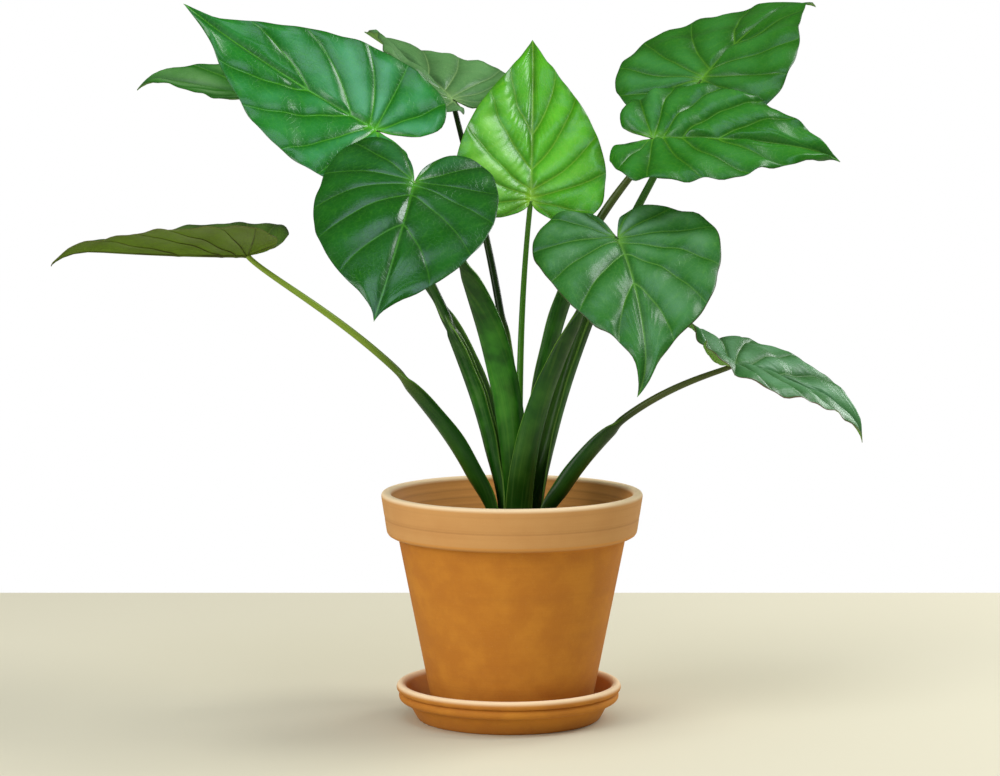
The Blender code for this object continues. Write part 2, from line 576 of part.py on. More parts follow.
def make_stem(collection, name, leaf, stem):
    """A petiole: a curved sheath that hugs the crown's axis and closes into a round stalk under the blade."""
    end = stem["sheath_end"]
    lower = np.linspace(0.0, end - 0.05, SHEATH_STATIONS)
    upper = np.linspace(end + 0.015, 1.0, STALK_STATIONS)
    shares = np.concatenate([lower, [end - 0.03, end - 0.01], upper])
    points, directions = stem_curve(leaf, stem, shares)
    bearing = math.radians(stem["bearing"])
    outward_at_base = np.array([math.cos(bearing), math.sin(bearing), 0.0])
    travel = unit((points[-1] - points[0]) * np.array([1, 1, 0]) + 1e-9)
    mesh = bpy.data.meshes.new(f"stem_{name}")
    built = bmesh.new()
    rings = []
    for share, point, direction in zip(shares, points, directions):
        level = blend(0.0, 0.12, share)
        axis = unit(np.array([0.0, 0.0, 1.0]) * (1 - level) + direction * level)
        outward = outward_at_base * (1 - share) + travel * share
        outward = unit(outward - axis * float(outward @ axis))
        side = np.cross(axis, outward)
        half_width, half_thickness, curvature, shift = stem_section(stem, share)
        ring = []
        for k in range(STEM_SIDES):
            angle = 2 * math.pi * k / STEM_SIDES
            run = half_width * math.cos(angle)
            depth = half_thickness * math.sin(angle)
            if curvature > 1e-6:
                radius = 1 / curvature
                across = (radius + depth) * math.sin(run / radius)
                out = (radius + depth) * math.cos(run / radius) - radius
            else:
                across = run
                out = depth
            place = point + (side * across + outward * (out + shift)) * PLANT_SCALE
            ring.append(built.verts.new(place))
        rings.append(ring)
    for low, high in zip(rings[:-1], rings[1:]):
        for k in range(STEM_SIDES):
            after = (k + 1) % STEM_SIDES
            built.faces.new((low[k], low[after], high[after], high[k]))
    built.faces.new(rings[0][::-1])
    built.faces.new(rings[-1])
    bmesh.ops.recalc_face_normals(built, faces=built.faces)
    built.to_mesh(mesh)
    built.free()
    mesh.shade_smooth()
    green = material(f"stem_{name}", STEM_GREENS[name], LEAF_ROUGHNESS)
    return add_object(collection, f"stem_{name}", mesh, green)


def main():
    clear_scene()
    collection = make_collection()
    make_saucer(collection)
    make_pot(collection)
    make_soil(collection)
    crown_body("crown", 0.0, 0.0)
    for name, leaf in LEAVES.items():
        make_leaf(collection, name, leaf)
        make_stem(collection, name, leaf, STEMS[name])


main()
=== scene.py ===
import math
from types import SimpleNamespace

import bmesh
import bpy
import numpy as np
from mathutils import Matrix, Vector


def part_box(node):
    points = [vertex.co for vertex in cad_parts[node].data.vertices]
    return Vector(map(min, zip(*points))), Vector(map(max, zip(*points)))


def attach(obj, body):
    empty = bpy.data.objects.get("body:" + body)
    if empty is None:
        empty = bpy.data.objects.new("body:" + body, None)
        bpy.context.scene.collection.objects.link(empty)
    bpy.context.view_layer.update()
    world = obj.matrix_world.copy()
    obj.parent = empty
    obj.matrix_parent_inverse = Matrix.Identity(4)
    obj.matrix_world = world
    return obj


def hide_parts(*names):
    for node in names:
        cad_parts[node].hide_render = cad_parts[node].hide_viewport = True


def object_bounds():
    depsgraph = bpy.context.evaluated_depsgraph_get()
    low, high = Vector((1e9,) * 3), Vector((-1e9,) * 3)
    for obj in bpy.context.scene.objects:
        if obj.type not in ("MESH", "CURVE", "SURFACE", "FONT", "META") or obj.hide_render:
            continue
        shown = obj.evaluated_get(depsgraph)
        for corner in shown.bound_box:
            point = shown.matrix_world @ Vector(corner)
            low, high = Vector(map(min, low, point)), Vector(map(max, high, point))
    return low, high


# Potted alocasia: a young plant with heart-shaped leaves in a banded clay pot on a clay saucer.
# Metres, +Z up. The pot's axis is the Z axis.

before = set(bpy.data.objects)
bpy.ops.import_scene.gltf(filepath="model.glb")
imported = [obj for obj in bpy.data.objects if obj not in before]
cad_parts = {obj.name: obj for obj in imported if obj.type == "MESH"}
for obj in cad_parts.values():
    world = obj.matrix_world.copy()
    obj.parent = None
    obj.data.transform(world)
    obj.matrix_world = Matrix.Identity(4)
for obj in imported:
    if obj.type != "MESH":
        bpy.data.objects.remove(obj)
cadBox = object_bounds()
print("frame loaded:", len(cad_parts), "nodes")


# Tools shared by the pieces

coat = {"data_type": "RGBA"}  # a Mix node that lays one colour over another; the result is its output 2
smooth = {"interpolation_type": "SMOOTHSTEP"}
times = {"operation": "MULTIPLY"}
plus = {"operation": "ADD"}
timesPlus = {"operation": "MULTIPLY_ADD"}


def linear(hexColour):
    # sRGB hex to the linear colour that a shader takes
    parts = [int(hexColour[i:i + 2], 16) / 255 for i in (1, 3, 5)]
    return [p / 12.92 if p <= 0.04045 else ((p + 0.055) / 1.055) ** 2.4 for p in parts] + [1.0]


def addNode(tree, kind, settings=None, inputs=None):
    # settings are the node's own; an input takes a value, a hex colour, a node, or (node, output)
    made = tree.nodes.new(kind)
    for name, value in (settings or {}).items():
        setattr(made, name, value)
    for key, value in (inputs or {}).items():
        if isinstance(value, bpy.types.Node):
            value = (value, 0)
        if isinstance(value, tuple) and isinstance(value[0], bpy.types.Node):
            tree.links.new(value[0].outputs[value[1]], made.inputs[key])
        else:
            made.inputs[key].default_value = linear(value) if str(value).startswith("#") else value
    return made


def newMaterial(name):
    made = bpy.data.materials.new(name)
    made.use_nodes = True
    made.node_tree.nodes.clear()
    return made, made.node_tree


def placed(name, mesh):
    piece = bpy.data.objects.new(name, mesh)
    bpy.context.scene.collection.objects.link(piece)
    return piece


def meshObject(name, points, faces, material, attributes=None):
    mesh = bpy.data.meshes.new(name)
    mesh.from_pydata(points.tolist(), [], faces)
    for key, values in (attributes or {}).items():
        vectors = values.ndim == 2
        layer = mesh.attributes.new(key, "FLOAT_VECTOR" if vectors else "FLOAT", "POINT")
        layer.data.foreach_set("vector" if vectors else "value", values.astype(np.float32).ravel())
    built = bmesh.new()
    built.from_mesh(mesh)
    bmesh.ops.remove_doubles(built, verts=built.verts, dist=1e-6)
    bmesh.ops.dissolve_degenerate(built, edges=built.edges, dist=1e-8)
    built.to_mesh(mesh)
    built.free()
    mesh.materials.append(material)
    mesh.shade_smooth()
    return placed(name, mesh)


def newTree(name, inputs):
    # a Geometry Nodes tree with named inputs, each of a socket kind and a value
    tree = bpy.data.node_groups.new(name, "GeometryNodeTree")
    tree.interface.new_socket("Geometry", in_out="INPUT", socket_type="NodeSocketGeometry")
    for socket, (kind, value) in inputs.items():
        made = tree.interface.new_socket(socket, in_out="INPUT", socket_type=kind)
        if value is not None:
            made.default_value = value
    tree.interface.new_socket("Geometry", in_out="OUTPUT", socket_type="NodeSocketGeometry")
    return tree, addNode(tree, "NodeGroupInput")


def endTree(tree, last, material):
    real = addNode(tree, "GeometryNodeRealizeInstances", inputs={0: last})
    painted = addNode(tree, "GeometryNodeSetMaterial", inputs={0: real, "Material": material})
    addNode(tree, "NodeGroupOutput", inputs={0: painted})
    return tree


def grown(piece, tree, values):
    # runs the tree on the piece and leaves the result as a plain mesh
    modifier = piece.modifiers.new(tree.name, "NODES")
    modifier.node_group = tree
    for item in tree.interface.items_tree:
        if item.item_type == "SOCKET" and item.in_out == "INPUT" and item.name in values:
            modifier[item.identifier] = values[item.name]
    graph = bpy.context.evaluated_depsgraph_get()
    mesh = bpy.data.meshes.new_from_object(piece.evaluated_get(graph))
    piece.modifiers.clear()
    piece.data = mesh


def keepInside(points, soft=0.003):
    # eases points that would stand past the whole plant's measured box back into it
    low, high = np.array(cadBox[0]), np.array(cadBox[1])
    over = points - (high - soft)
    points = np.where(over > 0, high - soft + soft * (1 - np.exp(-np.maximum(over, 0) / soft)), points)
    under = (low + soft) - points
    eased = np.where(under > 0, low + soft - soft * (1 - np.exp(-np.maximum(under, 0) / soft)), points)
    points[:, :2] = eased[:, :2]
    return points


def blend(low, high, value):
    share = np.clip((value - low) / (high - low), 0, 1)
    return share * share * (3 - 2 * share)


def bell(offset, width):
    return np.exp(-(offset / width) ** 2)


def unit(vector):
    return vector / np.linalg.norm(vector)


def settle(piece, *nodes, finish):
    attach(piece, "root")
    if nodes:
        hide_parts(*nodes)


# Stage: pale floor, white surroundings, soft light from the upper right

stageLook = {
    "floor": "#cec9b2", "floorRough": 0.7, "floorBack": 0.61, "floorFront": -2.4, "floorHalf": 3.2,
    "ambient": 0.58, "mirrored": 0.07,  # strength of the room's light, and of its reflection
    "lens": 129.6, "eye": (-0.0096, -2.8632, 0.5784), "lookDown": 6.2,
    # place, aim, power, size, colour
    "lamps": {
        "front lamp": ((-1.9, -1.6, 1.3), (0.0, 0.0, 0.2), 40.0, 1.5, "#fffdf8"),
        "side lamp": ((1.6, 0.1, 2.3), (0.0, 0.0, 0.25), 38.0, 1.0, "#fffdf8"),
        "sky panel": ((-0.2, -1.6, 3.1), (0.0, 0.0, 0.4), 24.0, 1.6, "#dbe9ff"),
        "rim lamp": ((1.5, 1.3, 0.9), (0.0, 0.0, 0.15), 15.0, 0.8, "#ffffff"),
    },
}


def makeRoom(look):
    world = bpy.data.worlds.new("white room")
    world.use_nodes = True
    tree = world.node_tree
    tree.nodes.clear()
    path = addNode(tree, "ShaderNodeLightPath")
    shine = addNode(tree, "ShaderNodeMapRange", inputs={
        0: (path, "Is Glossy Ray"), 3: look["ambient"], 4: look["mirrored"]})
    seen = addNode(tree, "ShaderNodeMapRange", inputs={0: (path, "Is Camera Ray"), 3: shine, 4: 1.0})
    light = addNode(tree, "ShaderNodeBackground", inputs={"Color": "#ffffff", "Strength": seen})
    addNode(tree, "ShaderNodeOutputWorld", inputs={"Surface": light})
    bpy.context.scene.world = world


def makeFloor(look):
    material, tree = newMaterial("pale floor")
    shader = addNode(tree, "ShaderNodeBsdfPrincipled", inputs={
        "Base Color": look["floor"], "Roughness": look["floorRough"]})
    addNode(tree, "ShaderNodeOutputMaterial", inputs={"Surface": shader})
    half, front, back = look["floorHalf"], look["floorFront"], look["floorBack"]
    corners = np.array([(-half, front, 0), (half, front, 0), (half, back, 0), (-half, back, 0)])
    meshObject("floor", corners, [(0, 1, 2, 3)], material)


def makeLamps(look):
    for name, (place, aim, power, size, colour) in look["lamps"].items():
        data = bpy.data.lights.new(name, "AREA")
        data.energy = power
        data.size = size
        data.color = linear(colour)[:3]
        lamp = placed(name, data)
        lamp.location = place
        toward = unit(np.array(aim) - np.array(place))
        lamp.rotation_euler = (math.acos(-toward[2]), 0.0, math.atan2(toward[1], toward[0]) - math.pi / 2)


def makeCamera(look):
    data = bpy.data.cameras.new("camera")
    data.lens = look["lens"]
    data.sensor_width = 36.0
    camera = placed("camera", data)
    camera.location = look["eye"]
    camera.rotation_euler = (math.radians(90 - look["lookDown"]), 0.0, 0.0)
    bpy.context.scene.camera = camera
    bpy.context.scene.view_settings.view_transform = "Standard"
    bpy.context.scene.view_settings.look = "None"


makeRoom(stageLook)
makeFloor(stageLook)
makeLamps(stageLook)
makeCamera(stageLook)
print("stage ready")


# Pot and saucer: unglazed earthenware, thrown and turned

clay = {
    # groove is the colour of the painted shade in the band's grooves, and of the darker lines on the inner
    # turning rings
    "body": "#bf7c26", "warm": "#b36f1e", "bloom": "#c5945b", "damp": "#965a20", "groove": "#8f5d30",
    # rubbed is the colour of a painted highlight, the palest, laid along the top of the lip
    "inside": "#cd8a3c", "paintedLipHighlight": "#f2d9b2",
    "roughness": 0.82, "mottleMm": 26.0, "grainMm": 0.9, "sweepMm": 9.0, "ringMm": 1.6,
}
pot = {
    "baseR": 0.0635, "neckR": 0.0915, "rimR": 0.105, "height": 0.176, "band": 0.035, "bandTaper": 0.0045,
    "wall": 0.008, "floor": 0.009, "drainR": 0.011, "lipRound": 0.003, "steps": 160,
    "grooves": ((0.1556, 0.0003), (0.1571, 0.00012), (0.1690, 0.00008)),  # height above the foot, depth
    "grooveWide": 0.0006, "ringPitch": 0.0062, "ringHeight": 0.00022, "ringReach": 0.05,
    "bloom": (0.1475, 0.1515, 0.85), "dampBelow": 0.02,  # the bloom's start and full height, and its most
}
saucer = {
    "baseR": 0.0725, "lipR": 0.0905, "height": 0.0295, "floor": 0.0077, "wall": 0.0075, "groove": 0.0016,
    "shift": -0.0025, "steps": 144, "bloom": (0.0235, 0.0295, 0.5), "dampBelow": 0.013,
}


def clayMaterial(name, look, size, lip):
    # unglazed earthenware: matte, with fine turning rings and a paler mineral bloom; the eye reads dry clay
    made, tree = newMaterial(name)
    where = (addNode(tree, "ShaderNodeTexCoord"), "Object")
    height = (addNode(tree, "ShaderNodeSeparateXYZ", inputs={0: where}), "Z")
    drawn = addNode(tree, "ShaderNodeMapping", inputs={"Vector": where, "Scale": (0.04, 0.04, 1.0)})
    mottle = addNode(tree, "ShaderNodeTexNoise", inputs={
        "Vector": where, "Scale": 1000 / look["mottleMm"], "Detail": 5.0, "Roughness": 0.6})
    grain, sweep, rings = (
        addNode(tree, "ShaderNodeTexNoise", inputs={
            "Vector": source, "Scale": 1000 / look[key], "Detail": detail})
        for source, key, detail in ((where, "grainMm", 3.0), (drawn, "sweepMm", 2.0), (drawn, "ringMm", 2.0)))
    # mark: painted shade in the band's grooves, and darker lines on the inner turning rings
    inner, grooveShadeAndRingLines = (
        (addNode(tree, "ShaderNodeAttribute", {"attribute_name": key}), "Fac") for key in ("inner", "mark"))

    bloomFrom, bloomTo, bloomMost = size["bloom"]
    risen = addNode(tree, "ShaderNodeMapRange", smooth, {0: height, 1: bloomFrom, 2: bloomTo, 4: bloomMost})
    patchy = addNode(tree, "ShaderNodeMath", timesPlus, {0: mottle, 1: 0.5, 2: 0.75})
    chalk = addNode(tree, "ShaderNodeMath", times, {0: risen, 1: patchy})
    # the last share, just under the top of the lip, is a painted highlight along the lip
    body, damp, swept, speck, paintedLipHighlight = (
        addNode(tree, "ShaderNodeMapRange", smooth, {0: source, 1: low, 2: high, 4: most})
        for source, low, high, most in (
            (mottle, 0.35, 0.68, 1.0), (height, size["dampBelow"], size["dampBelow"] - 0.012, 0.45),
            (sweep, 0.40, 0.75, 0.12), (grain, 0.62, 0.75, 0.25), (height, lip - 0.004, lip - 0.0005, 0.9)))
    inside = addNode(tree, "ShaderNodeMath", times, {0: inner, 1: 0.6})
    colour = look["warm"]
    for share, paint in (
            (body, "body"), (chalk, "bloom"), (damp, "damp"), (swept, "damp"), (speck, "bloom"),
            (inside, "inside"), (paintedLipHighlight, "paintedLipHighlight"), (grooveShadeAndRingLines, "groove")):
        colour = (addNode(tree, "ShaderNodeMix", coat, {0: share, 6: colour, 7: look[paint]}), 2)

    rough = addNode(tree, "ShaderNodeMapRange", smooth, {
        0: mottle, 1: 0.2, 2: 0.8, 3: look["roughness"] - 0.08, 4: look["roughness"] + 0.08})
    fine = addNode(tree, "ShaderNodeMath", times, {0: grain, 1: 0.4})
    both = addNode(tree, "ShaderNodeMath", timesPlus, {0: rings, 1: 0.6, 2: fine})
    bump = addNode(tree, "ShaderNodeBump", inputs={"Strength": 0.35, "Distance": 0.0006, "Height": both})
    shader = addNode(tree, "ShaderNodeBsdfPrincipled", inputs={
        "Base Color": colour, "Roughness": rough, "Normal": bump, "IOR": 1.5, "Specular IOR Level": 0.3})
    addNode(tree, "ShaderNodeOutputMaterial", inputs={"Surface": shader})
    return made


def latheTree():
    # turns the section held by the object round the Z axis
    tree, start = newTree("potter's wheel", {
        "Steps": ("NodeSocketInt", 128), "Rows": ("NodeSocketInt", 100),
        "Clay": ("NodeSocketMaterial", None)})
    section = addNode(tree, "GeometryNodeMeshToCurve", inputs={0: start})
    count = addNode(tree, "ShaderNodeMath", plus, {0: (start, "Steps"), 1: 1.0})
    grid = addNode(tree, "GeometryNodeMeshGrid", inputs={0: 1.0, 1: 1.0, 2: count, 3: (start, "Rows")})
    cell = addNode(tree, "ShaderNodeSeparateXYZ", inputs={0: addNode(tree, "GeometryNodeInputPosition")})
    turn = addNode(tree, "ShaderNodeMapRange", inputs={0: (cell, "X"), 1: -0.5, 2: 0.5, 4: 2 * math.pi})
    along = addNode(tree, "ShaderNodeMath", plus, {0: (cell, "Y"), 1: 0.5})
    sample = addNode(tree, "GeometryNodeSampleCurve", {"mode": "FACTOR", "use_all_curves": True}, {
        "Curves": section, "Factor": along})
    point = addNode(tree, "ShaderNodeSeparateXYZ", inputs={0: (sample, "Position")})
    cosine = addNode(tree, "ShaderNodeMath", {"operation": "COSINE"}, {0: turn})
    sine = addNode(tree, "ShaderNodeMath", {"operation": "SINE"}, {0: turn})
    across = addNode(tree, "ShaderNodeMath", times, {0: (point, "X"), 1: cosine})
    deep = addNode(tree, "ShaderNodeMath", times, {0: (point, "X"), 1: sine})
    where = addNode(tree, "ShaderNodeCombineXYZ", inputs={0: across, 1: deep, 2: (point, "Z")})
    moved = addNode(tree, "GeometryNodeSetPosition", inputs={"Geometry": grid, "Position": where})
    closed = addNode(tree, "GeometryNodeMergeByDistance", inputs={0: moved, "Distance": 5e-6})
    return endTree(tree, closed, (start, "Clay"))


def turned(name, profile, steps, material, shift=0.0):
    # a wheel-turned piece from its section
    mesh = bpy.data.meshes.new(name)
    edges = [(i, i + 1) for i in range(len(profile) - 1)]
    mesh.from_pydata([(x, 0.0, z) for x, z in profile.tolist()], edges, [])
    piece = placed(name, mesh)
    grown(piece, latheTree(), {"Steps": steps, "Rows": int(len(profile) * 1.5), "Clay": material})
    built = bmesh.new()
    built.from_mesh(piece.data)
    bmesh.ops.recalc_face_normals(built, faces=built.faces)
    for vert in built.verts:
        vert.co.x += shift
    built.to_mesh(piece.data)
    built.free()
    piece.data.shade_smooth()
    return piece


def smoothSection(points, step=0.0016):
    # the section resampled, with each corner slightly eased
    points = np.asarray(points, float)
    out = []
    for first, last in zip(points[:-1], points[1:]):
        count = max(1, int(np.linalg.norm(last - first) / step))
        out += [first + (last - first) * i / count for i in range(count)]
    out = np.array(out + [points[-1]])
    eased = out.copy()
    eased[1:-1] = out[1:-1] * 0.5 + (out[:-2] + out[2:]) * 0.25
    return eased


def arc(centre, radius, start, end, count):
    angles = [math.radians(start + (end - start) * i / (count - 1)) for i in range(count)]
    return [(centre[0] + radius * math.cos(a), centre[1] + radius * math.sin(a)) for a in angles]


def makePot(size):
    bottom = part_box("pot")[0][2]
    height, wall, lip, rimR = size["height"], size["wall"], size["lipRound"], size["rimR"]
    bodyHeight = height - size["band"]
    bandR = rimR - size["bandTaper"]

    def bodyR(h):
        return size["baseR"] + (size["neckR"] - size["baseR"]) * h / bodyHeight

    section = [(size["drainR"], size["floor"]), (bodyR(size["floor"]) - wall - 0.003, size["floor"]),
               (bodyR(size["floor"] + 0.003) - wall, size["floor"] + 0.003),
               (bodyR(bodyHeight) - wall, bodyHeight), (rimR - wall, height - lip)]
    section += arc((rimR - wall + lip, height - lip), lip, 170, 90, 6)
    section += arc((rimR - lip, height - lip), lip, 90, 0, 8)
    section += [(bandR, bodyHeight + 0.003), (bandR - 0.0008, bodyHeight + 0.001),
                (bandR - 0.003, bodyHeight), (size["neckR"], bodyHeight - 0.001),
                (size["baseR"] + 0.0005, 0.002), (size["baseR"] - 0.0015, 0.0),
                (size["drainR"], 0.0), (size["drainR"], size["floor"])]
    line = smoothSection(section)
    outerR = np.interp(line[:, 1], [0, bodyHeight, height], [size["baseR"], size["neckR"], rimR])
    outside = line[:, 0] > outerR - 0.004
    for at, depth in size["grooves"]:
        line[:, 0] -= depth * bell(line[:, 1] - at, size["grooveWide"]) * outside
    thrown = ~outside & (line[:, 1] > height - size["ringReach"]) & (line[:, 1] < height - 0.004)
    ringing = np.sin(line[:, 1] * 2 * math.pi / size["ringPitch"]) * 0.5 + 0.5
    line[:, 0] += np.where(thrown, size["ringHeight"] * ringing, 0.0)
    line[:, 1] += bottom
    material = clayMaterial("unglazed earthenware, thrown pot", clay, size, bottom + height)
    piece = turned("clayPot", line, size["steps"], material)

    # where the grooves and the inner wall are, for the clay's colour: painted shade darkens the band's
    # grooves, and darker lines follow the inner turning rings
    places = np.array([v.co for v in piece.data.vertices], float)
    radii, rise = np.hypot(places[:, 0], places[:, 1]), places[:, 2] - bottom
    mark = np.zeros(len(rise))
    for at, depth in size["grooves"]:
        near = bell(rise - at, size["grooveWide"]) * (radii > rimR - 0.006)
        mark = np.maximum(mark, near * depth / 0.0009)
    outerR = np.interp(rise, [0, bodyHeight, bodyHeight + 0.002, height],
                       [size["baseR"], size["neckR"], rimR, rimR])
    inner = radii < outerR - 0.0045
    ring = np.clip(np.sin(rise * 2 * math.pi / size["ringPitch"] + math.pi), 0, 1) ** 4 * 0.35
    mark = np.maximum(mark, ring * (inner & (rise > height - size["ringReach"])))
    for key, values in (("mark", mark), ("inner", inner)):
        layer = piece.data.attributes.new(key, "FLOAT", "POINT")
        layer.data.foreach_set("value", values.astype(np.float32))
    settle(piece, "pot", finish="terracotta")


def makeSaucer(size):
    bead = size["wall"] / 2
    lipBottom = size["height"] - size["wall"]
    stepBottom = size["height"] * 0.5
    ridge = (lipBottom - stepBottom) / 2 + 0.0004
    ridgeR = size["lipR"] - size["groove"] - ridge * 1.1
    innerBase = size["baseR"] - 0.001
    section = [(0.0, size["floor"]), (innerBase - 0.004, size["floor"]), (innerBase, size["floor"] + 0.002),
               (size["lipR"] - size["wall"] - 0.001, size["height"] - bead)]
    section += arc((size["lipR"] - bead, size["height"] - bead), bead, 150, -58, 18)
    section += [(size["lipR"] - size["groove"] - bead * 0.7, lipBottom + 0.0006)]  # the groove under the lip
    section += arc((ridgeR, stepBottom + ridge), ridge * 1.05, 62, -75, 12)
    section += [(ridgeR - 0.0032, stepBottom - 0.0002), (size["baseR"] + 0.0025, 0.003),
                (size["baseR"] + 0.0008, 0.0004), (size["baseR"], 0.0), (0.0, 0.0)]
    line = smoothSection(section, 0.0009)
    line[:, 1] = np.clip(line[:, 1], 0.0, None)
    material = clayMaterial("unglazed earthenware, weathered saucer", clay, size, size["height"])
    piece = turned("claySaucer", line, size["steps"], material, size["shift"])
    settle(piece, "saucer", finish="saucer_clay")


makePot(pot)
makeSaucer(saucer)
print("pot and saucer thrown")


# Soil: dark, moist, bark-based mix with crumbs over it, round the corky crown

soil = {
    "dark": "#1d130c", "brown": "#3c2918", "bark": "#6b4a2b", "clumpMm": 6.25, "barkMm": 2.381,
    "crumbs": 5200, "crumbMm": 1.7, "topR": 0.084, "seed": 7,
}
crown = {"cork": "#4a3a1e", "scar": "#8a8048", "scarMm": 2.381}


def soilMaterial(name, look, barkMost):
    # peat and bark crumbs, moist: nearly black with brown flecks, no gloss
    made, tree = newMaterial(name)
    where = (addNode(tree, "ShaderNodeTexCoord"), "Object")
    clumps = addNode(tree, "ShaderNodeTexNoise", inputs={
        "Vector": where, "Scale": 1000 / look["clumpMm"], "Detail": 6.0})
    bits = addNode(tree, "ShaderNodeTexVoronoi", inputs={"Vector": where, "Scale": 1000 / look["barkMm"]})
    brown = addNode(tree, "ShaderNodeMapRange", smooth, {0: clumps, 1: 0.4, 2: 0.7})
    bark = addNode(tree, "ShaderNodeMapRange", smooth, {
        0: (bits, "Distance"), 1: 0.2, 2: 0.5, 3: barkMost, 4: 0.0})
    colour = look["dark"]
    for share, paint in ((brown, "brown"), (bark, "bark")):
        colour = (addNode(tree, "ShaderNodeMix", coat, {0: share, 6: colour, 7: look[paint]}), 2)
    bump = addNode(tree, "ShaderNodeBump", inputs={"Strength": 0.8, "Distance": 0.001, "Height": clumps})
    shader = addNode(tree, "ShaderNodeBsdfPrincipled", inputs={
        "Base Color": colour, "Roughness": 0.95, "Specular IOR Level": 0.2, "Normal": bump})
    addNode(tree, "ShaderNodeOutputMaterial", inputs={"Surface": shader})
    return made


def crownMaterial(look):
    # corky rootstock with the scars of old leaves: dull olive-brown rings
    made, tree = newMaterial("corky rootstock")
    where = (addNode(tree, "ShaderNodeTexCoord"), "Object")
    flat = addNode(tree, "ShaderNodeMapping", inputs={"Vector": where, "Scale": (0.15, 0.15, 1.0)})
    scars = addNode(tree, "ShaderNodeTexNoise", inputs={
        "Vector": flat, "Scale": 1000 / look["scarMm"], "Detail": 4.0})
    share = addNode(tree, "ShaderNodeMapRange", smooth, {0: scars, 1: 0.35, 2: 0.65})
    colour = (addNode(tree, "ShaderNodeMix", coat, {0: share, 6: look["cork"], 7: look["scar"]}), 2)
    bump = addNode(tree, "ShaderNodeBump", inputs={"Strength": 0.6, "Distance": 0.0008, "Height": scars})
    shader = addNode(tree, "ShaderNodeBsdfPrincipled", inputs={
        "Base Color": colour, "Roughness": 0.8, "Normal": bump})
    addNode(tree, "ShaderNodeOutputMaterial", inputs={"Surface": shader})
    return made


def crumbTree():
    # scatters small broken crumbs over the soil's upper face
    tree, start = newTree("soil crumbs", {
        "Crumbs": ("NodeSocketFloat", 50000.0), "Crumb Size": ("NodeSocketFloat", 0.0015),
        "Seed": ("NodeSocketInt", 1), "Lowest": ("NodeSocketFloat", 0.1),
        "Bark": ("NodeSocketMaterial", None)})
    up = addNode(tree, "ShaderNodeSeparateXYZ", inputs={0: addNode(tree, "GeometryNodeInputNormal")})
    high = addNode(tree, "ShaderNodeSeparateXYZ", inputs={0: addNode(tree, "GeometryNodeInputPosition")})
    faces = addNode(tree, "FunctionNodeCompare", {"operation": "GREATER_THAN"}, {0: (up, 2), 1: 0.5})
    above = addNode(tree, "FunctionNodeCompare", {"operation": "GREATER_THAN"}, {
        0: (high, 2), 1: (start, "Lowest")})
    chosen = addNode(tree, "FunctionNodeBooleanMath", {"operation": "AND"}, {0: faces, 1: above})
    points = addNode(tree, "GeometryNodeDistributePointsOnFaces", inputs={
        "Mesh": start, "Selection": chosen, "Density": (start, "Crumbs"), "Seed": (start, "Seed")})
    ball = addNode(tree, "GeometryNodeMeshIcoSphere", inputs={
        "Subdivisions": 1, "Radius": (start, "Crumb Size")})
    size, turn = (
        addNode(tree, "FunctionNodeRandomValue", {"data_type": "FLOAT_VECTOR"}, {
            0: least, 1: most, "Seed": (start, "Seed")})
        for least, most in (((0.25, 0.25, 0.2), (1.25, 0.9, 0.7)), ((0, 0, 0), (6.283, 6.283, 6.283))))
    crumbs = addNode(tree, "GeometryNodeInstanceOnPoints", inputs={
        "Points": points, "Instance": ball, "Rotation": turn, "Scale": size})
    return endTree(tree, crumbs, (start, "Bark"))


def makeSoil(look):
    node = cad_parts["soil"]
    node.data.materials.clear()
    node.data.materials.append(soilMaterial("moist potting mix", look, 0.5))
    mesh = node.data.copy()
    built = bmesh.new()
    built.from_mesh(mesh)
    bmesh.ops.remove_doubles(built, verts=built.verts, dist=1e-6)
    built.to_mesh(mesh)
    built.free()
    piece = placed("soilCrumbs", mesh)
    grown(piece, crumbTree(), {
        "Crumbs": look["crumbs"] / (math.pi * look["topR"] ** 2), "Crumb Size": look["crumbMm"] / 1000,
        "Seed": look["seed"], "Lowest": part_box("soil")[1][2] - 0.008,
        "Bark": soilMaterial("bark crumbs", look, 0.9)})
    settle(piece, finish="potting_soil")


def makeCrown(look):
    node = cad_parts["crown"]
    node.data.materials.clear()
    node.data.materials.append(crownMaterial(look))


makeSoil(soil)
makeCrown(crown)
print("soil and crown done")


# Leaves: each blade is bent from a flat heart, with rays that follow its main veins

crownPlace = np.array([0.005, 0.0, 0.149])  # where the stems' common centre meets the soil
veinShares = (0.0, 0.125, 0.26, 0.40, 0.54, 0.68, 0.82, 1.0)  # along the margin from notch to tip
bladeForm = {
    "thickness": 0.0006, "marginWaves": 1.6, "raysPerGap": 15, "rings": 42, "firstRay": 0.006,
    "puff": 0.0016, "quilt": 0.00028, "roll": 0.0010, "flutter": 0.0009,  # heights of the swellings
    "veinSunk": 0.0004, "ribSunk": 0.0006, "veinRaised": 0.0003, "ribRaised": 0.0006,
    "veinWidth": 0.00055, "ribWidth": 0.0011,
    "toneMm": 34.0, "netMm": 4.2, "fineMm": 1.3, "ribToneMm": 12.0,
}
